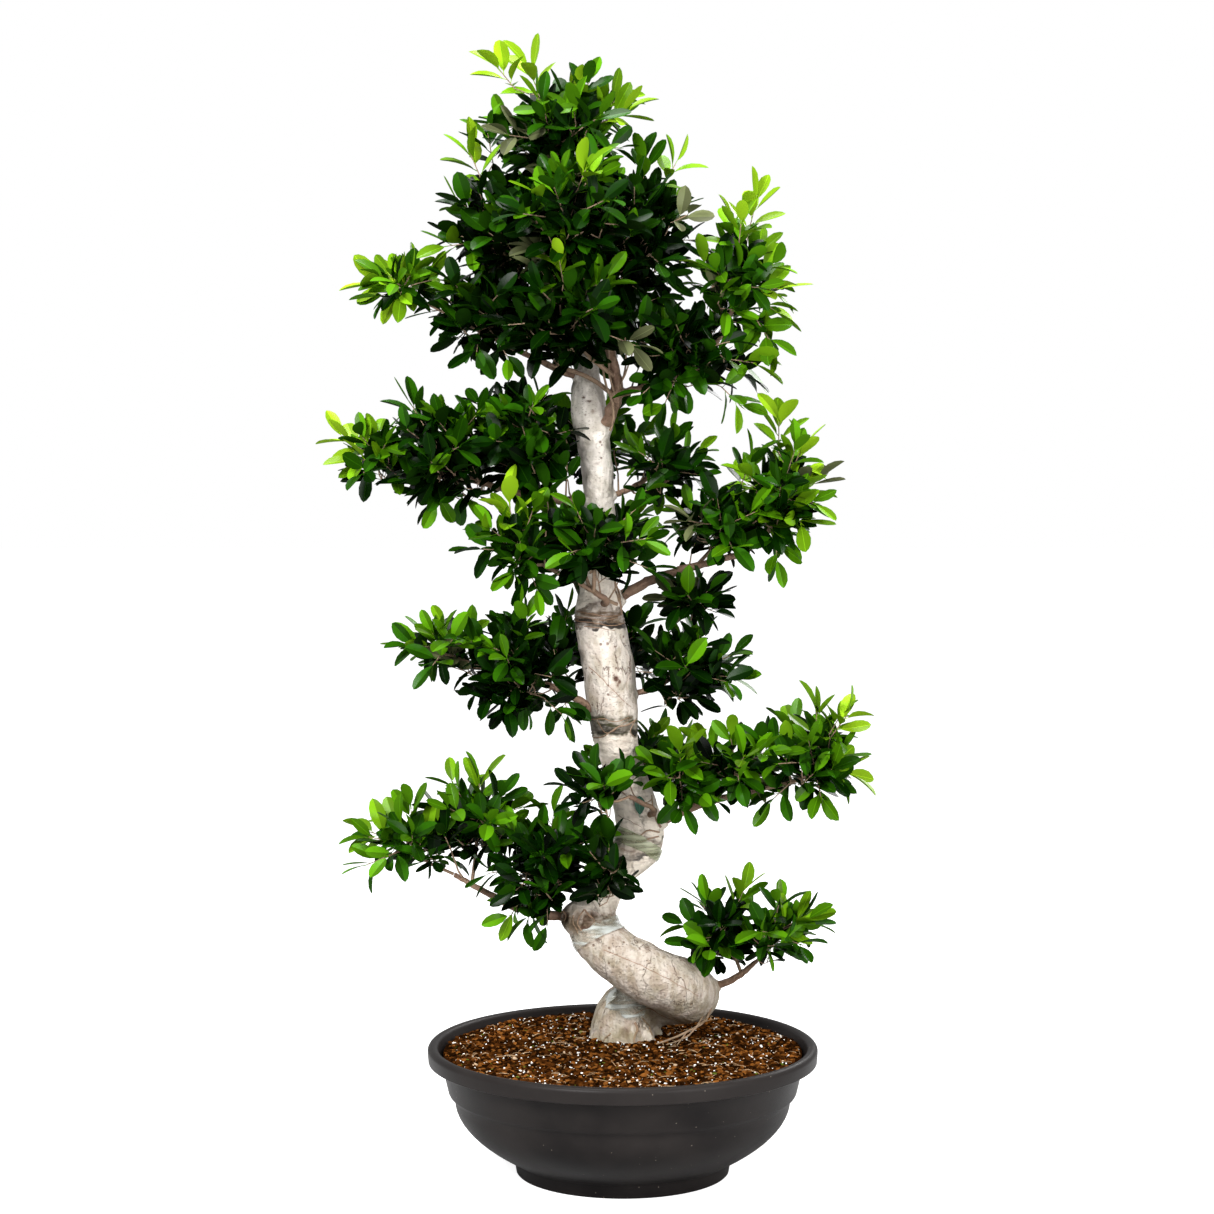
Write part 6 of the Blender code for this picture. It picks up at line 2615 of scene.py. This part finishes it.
class BoughGrowth:
    """Short leafy twigs that grow straight from a bough, above and below it."""

    step = 0.014
    first = 0.20
    short = (0.016, 0.044)
    long = (0.045, 0.090)
    long_share = 0.42
    leaf_step = 0.0040
    stem_radii = (0.0022, 0.0016, 0.0012)

    def __init__(self, bough: Bough, limbs: Limbs, spots: Spots) -> None:
        """Start the growth of a bough.

        Args:
            bough: The bough.
            limbs: The limbs' middle lines.
            spots: The rosettes that are grown already.
        """
        self.line = [knot.to_3d() for knot in limbs.lines[bough.name]]
        self.spots = spots
        self.rng = random.Random(f"{SEED} {bough.name} twigs")
        self.shoots: list[Shoot] = []
        self.stems: list[list[Vector]] = []

    def grow(self) -> None:
        """Grow a twig every so often along the bough, each way round in turn."""
        rng = self.rng
        length = sum((b - a).length for a, b in zip(self.line, self.line[1:]))
        count = int(length * (1 - self.first) / self.step)
        for number in range(count):
            share = self.first + (1 - self.first) * (number + rng.random()) / count
            root, along = place_along(self.line, share)
            lean = math.radians(rng.uniform(48, 88))
            way = tilted(along, lean, number * GOLDEN_ANGLE + rng.uniform(-0.5, 0.5))
            span = rng.uniform(*self.short)
            if rng.random() < self.long_share:
                span = rng.uniform(*self.long)
                way = (way + UP * 1.1).normalized()
            foot = root + way * span
            way = (way + along * 0.3 + UP * 0.35).normalized()
            leaves = rng.choice((4, 5, 6))
            reach = leaves * self.leaf_step
            middle = foot + way * (reach + 0.006)
            if hides_trunk(middle) or not in_rooms(middle, 1.02) or not self.spots.take(middle, 0.8):
                continue
            self.stems.append([root, sagged(root, foot, rng, 0.07), foot])
            fresh = rng.uniform(0.02, 0.42)
            self.shoots.append(Shoot(foot, way, reach, fresh, leaves, rng.uniform(0.042, 0.054)))

    def add_wood(self, batch: Batch) -> None:
        """Add the twigs to the tier's wood."""
        for stem in self.stems:
            batch.tube(stem, self.stem_radii, 4)


@dataclass
class Foliage:
    """All the foliage: for each tier one piece of leaves and one of twigs.

    Attributes:
        limbs: The limbs' middle lines.
        trunk_tree: The trunk's skin, for finding its surface.
        spots: The middles of the rosettes.
        leaves: The patterns of leaf.
        bud: The pattern of the bud.
        wood: The twigs of the tier that is being grown.
        green: Its leaves and buds.
        leaf_count: How many leaves there are so far.
        edge_least: A leaf is made smaller where it leaves the rooms, grown by this share at least.
        edge_most: The same, at most.
        sizes_tried: The sizes that are tried for it.
        olive_share: The share of shoots whose leaves are olive.
        bud_share: The share of shoots that end in a bud.
    """

    limbs: Limbs
    trunk_tree: BVHTree
    spots: Spots = field(default_factory=lambda: Spots(0.0300))
    leaves: list[Template] = field(default_factory=lambda: [leaf_template(shape) for shape in LEAF_SHAPES])
    bud: Template = field(default_factory=bud_template)
    wood: Batch = field(default_factory=Batch)
    green: Batch = field(default_factory=Batch)
    leaf_count: int = 0
    edge_least: float = 0.98
    edge_most: float = 1.20
    sizes_tried: tuple = (1.0, 0.88, 0.76, 0.66)
    olive_share: float = 0.015
    bud_share: float = 0.6

    def build(self, leaf_materials: list[Material], bark: Material) -> None:
        """Grow every tier and dress its pieces.

        Args:
            leaf_materials: The leaves' materials, four for each tone.
            bark: The twigs' material.
        """
        for tier in Tier:
            self.wood, self.green = Batch(), Batch()
            rooms = [room for room in ROOMS if room.tier is tier]
            growths = [Growth(room, self.limbs, self.spots) for room in rooms]
            boughs = [bough for bough in BOUGHS if tier_of(bough) is tier]
            growths += [BoughGrowth(bough, self.limbs, self.spots) for bough in boughs]
            for growth in growths:
                growth.grow()
                growth.add_wood(self.wood)
                for shoot in growth.shoots:
                    self.add_shoot(shoot, growth.rng)
            dress(self.wood.build(f"twigs_{tier.value}", 60), [bark], [])
            leaf_piece = self.green.build(f"leaves_{tier.value}", 62)
            dress(leaf_piece, leaf_materials, [room.name for room in rooms])
        log.info("%d leaves", self.leaf_count)

    def add_shoot(self, shoot: Shoot, rng: random.Random) -> None:
        """Add the end of a shoot: its twig, its leaves in a spiral and its bud.

        Args:
            shoot: The shoot.
            rng: The source of chance.
        """
        spin = rng.uniform(0, math.tau)
        end = shoot.start + shoot.way * shoot.length
        self.wood.tube([shoot.start, shoot.start.lerp(end, 0.5), end], SHOOT_RADII, 4)
        olive = rng.random() < self.olive_share
        for number in range(shoot.leaves):
            share = number / max(shoot.leaves - 1, 1)
            lean = math.radians(24 + 50 * share + rng.uniform(-9, 9))
            way = tilted(shoot.way, lean, spin + number * GOLDEN_ANGLE)
            way = (way + UP * 0.10).normalized()
            swell = 0.80 + 0.26 * math.sin(math.pi * (0.2 + 0.6 * share))
            size = shoot.leaf * swell * rng.uniform(0.90, 1.08)
            tone = tone_of(shoot.fresh + 0.20 * (0.5 - share) + rng.uniform(-0.12, 0.12))
            slot = leaf_slot(Tone.OLIVE if olive else tone)
            self.add_leaf(end.lerp(shoot.start, share * 0.95), way, shoot, size, slot, rng)
        if rng.random() < self.bud_share:
            turn = shoot.way.to_track_quat("X", "Z").to_matrix()
            size = Vector.Fill(3, rng.uniform(0.008, 0.014))
            self.green.place(self.bud, end, turn, size, leaf_slot(tone_of(shoot.fresh + 0.25)))

    def add_leaf(self, foot: Vector, way: Vector, shoot: Shoot, size: float, slot: int,
                 rng: random.Random) -> None:
        """Add one leaf, unless it would run into the trunk, and smaller where it would leave the rooms.

        Args:
            foot: Where its stalk leaves the twig.
            way: The way that it points.
            shoot: The shoot that it grows on.
            size: Its length.
            slot: The first slot of its green.
            rng: The source of chance.
        """
        if self.trunk_tree.ray_cast(foot, way, size * 1.25)[0] is not None:
            return
        if hides_trunk(foot + way * size * 0.7):
            return
        if not shoot.free:
            edge = rng.uniform(self.edge_least, self.edge_most)
            for share in self.sizes_tried:
                if in_rooms(foot + way * size * share * 1.12, edge):
                    break
            size *= share
        facing = shoot.way * 0.50 + UP * 0.68 - Vector((0.0, 0.22, 0.0)) + random_vector(rng, 0.45)
        facing = facing - way * facing.dot(way)
        if facing.length < 0.05:
            facing = way.orthogonal()
        facing.normalize()
        turn = Matrix((way, facing.cross(way).normalized(), facing)).transposed()
        place = foot + way * size * STALK_LENGTH * 0.95
        breadth = size * rng.uniform(0.90, 1.08)
        self.green.place(rng.choice(self.leaves), place, turn, Vector((size, breadth, size)), slot)
        self.leaf_count += 1


# How fresh and how lit the leaves of each of the first five tones are at most
TONE_LIMITS = {Tone.DEEP: 0.09, Tone.DARK: 0.26, Tone.MID: 0.46, Tone.BRIGHT: 0.67, Tone.FRESH: 0.87}
SHOOT_RADII = (0.0012, 0.0010, 0.0008)
STRAY_LEAF_PLACE = Vector((0.026, 0.0, 0.552))
STRAY_LEAF_SIZE = Vector((0.029, 0.036, 0.012))
STRAY_LEAF_LIFT = 0.0045


def tone_of(fresh: float) -> Tone:
    """The tone of a leaf as fresh and as lit as this."""
    return next((tone for tone, limit in TONE_LIMITS.items() if fresh < limit), Tone.LIME)


def leaf_slot(tone: Tone) -> int:
    """The first of the slots of a leaf of this tone."""
    return list(Tone).index(tone) * LEAF_SLOTS


def tier_of(bough: Bough) -> Tier:
    """The tier that a bough's foliage belongs to."""
    return next(room.tier for room in ROOMS if room.limb == bough.name)


def stray_leaf(trunk_tree: BVHTree, leaf_materials: list[Material]) -> None:
    """Lay a small dull leaf on the front of the trunk.

    Args:
        trunk_tree: The trunk's skin, for finding its surface.
        leaf_materials: The leaves' materials, four for each tone.
    """
    hit, normal, _, _ = front_of(trunk_tree, STRAY_LEAF_PLACE)
    way = (UP - normal * UP.dot(normal)).normalized()
    turn = Matrix((way, normal.cross(way), normal)).transposed()
    batch = Batch()
    place = hit + normal * STRAY_LEAF_LIFT
    batch.place(leaf_template(LEAF_SHAPES[1]), place, turn, STRAY_LEAF_SIZE, leaf_slot(Tone.DUSTY))
    dress(batch.build("stray_leaf", 62), leaf_materials, [])


# The studio

WHITE = (1.0, 1.0, 1.0, 1.0)


@dataclass
class Studio:
    """A pale floor, soft light and the camera."""

    camera_place: tuple = CAMERA_PLACE
    camera_aim: tuple = (-0.0243, 0.0, 0.879)
    lens: float = 77.0
    sensor: float = 36.0
    floor_size: float = 60.0
    floor_tone: tuple = (0.55, 0.55, 0.55, 1.0)
    floor_glow: float = 0.86
    light_aim: tuple = (0.0, 0.0, 0.9)
    sky_light: float = 0.47

    def build_camera(self) -> None:
        """Place the camera as the photograph was taken."""
        data = bpy.data.cameras.new("camera")
        data.lens = self.lens
        data.sensor_width = self.sensor
        data.dof.use_dof = False
        bpy.context.scene.camera = self.place(data, self.camera_place, self.camera_aim)

    def place(self, data: bpy.types.ID, stand: tuple, aim: tuple) -> Object:
        """Put a camera or a light where it stands.

        Args:
            data: The camera or the light.
            stand: Where it stands.
            aim: What it points at.

        Returns:
            Its object.
        """
        thing = bpy.data.objects.new(data.name, data)
        thing.location = stand
        thing.rotation_euler = (Vector(aim) - Vector(stand)).to_track_quat("-Z", "Y").to_euler()
        bpy.context.scene.collection.objects.link(thing)
        return thing

    def build(self) -> None:
        """Lay the floor, light the scene and set how bright the picture is."""
        self.build_floor()
        self.build_sky()
        self.build_light("key", (-1.6, -2.9, 2.7), 1.3, 188.0)
        self.build_light("fill", (2.3, -2.6, 1.5), 1.8, 105.0)
        self.build_light("top", (-0.3, 0.2, 4.8), 2.0, 250.0)
        self.build_light("rim", (1.7, 2.4, 2.4), 1.2, 45.0)
        bpy.context.scene.view_settings.view_transform = "Standard"

    def build_floor(self) -> None:
        """A plain pale floor that glows a little to the camera, as a lit studio floor does."""
        deselect_all()
        bpy.ops.mesh.primitive_plane_add(size=self.floor_size)
        floor = active("floor")
        material, tree, shader, _ = new_material("floor_finish")
        rays = node(tree, "ShaderNodeLightPath")
        feed(tree, shader, {
            "Base Color": self.floor_tone,
            "Roughness": 0.9,
            "Specular IOR Level": 0.0,
            "Emission Color": WHITE,
            "Emission Strength": times(tree, rays.outputs["Is Camera Ray"], self.floor_glow),
        })
        floor.data.materials.append(material)

    def build_sky(self) -> None:
        """Even soft light from all round, and plain white behind the plant."""
        world = bpy.data.worlds.new("sky")
        world.use_nodes = True
        tree = world.node_tree
        sky = tree.nodes["Background"]
        feed(tree, sky, {"Color": WHITE, "Strength": self.sky_light})
        backdrop = node(tree, "ShaderNodeBackground", {}, {"Color": WHITE, "Strength": 1.0})
        rays = node(tree, "ShaderNodeLightPath")
        both = node(tree, "ShaderNodeMixShader", {}, {
            0: rays.outputs["Is Camera Ray"],
            1: sky.outputs[0],
            2: backdrop.outputs[0],
        })
        tree.links.new(both.outputs[0], tree.nodes["World Output"].inputs["Surface"])
        bpy.context.scene.world = world

    def build_light(self, name: str, place: tuple, size: float, power: float) -> None:
        """A soft square light that points at the plant.

        Args:
            name: Its name.
            place: Where it stands.
            size: The length of its side.
            power: Its power in watts.
        """
        data = bpy.data.lights.new(name, "AREA")
        data.size = size
        data.energy = power
        self.place(data, place, self.light_aim)


def main() -> None:
    """Build the studio, the pot, the mix, the limbs, the wraps and the foliage, in that order."""
    logging.basicConfig(level=logging.INFO, format="%(message)s")
    # Noise vectors depend on this seed, which would otherwise be taken from the clock
    noise.seed_set(SEED)
    studio = Studio()
    studio.build_camera()
    effects = Effects(mottle_group(), speck_group(), band_group(), crack_group())
    Pot().build(effects)
    Soil().build(effects)
    limbs = Limbs()
    limbs.trace()
    trunk = limbs.build(effects)
    films = {finish: finish.build(effects) for finish in (CLEAR_FILM, OLD_FILM)}
    for wrap in WRAPS:
        wrap.build(limbs, trunk, films[wrap.finish])
    FilmPatch().build(trunk, films[CLEAR_FILM])
    trunk_tree = BVHTree.FromObject(trunk, bpy.context.evaluated_depsgraph_get())
    twig_bark = TWIG_BARK.build(effects)
    BarkLines(trunk_tree).build(effects, twig_bark)
    leaf_materials = [material for tone in Tone for material in LeafFinish(tone).build()]
    Foliage(limbs, trunk_tree).build(leaf_materials, twig_bark)
    stray_leaf(trunk_tree, leaf_materials)
    studio.build()


if __name__ == "__main__":
    main()
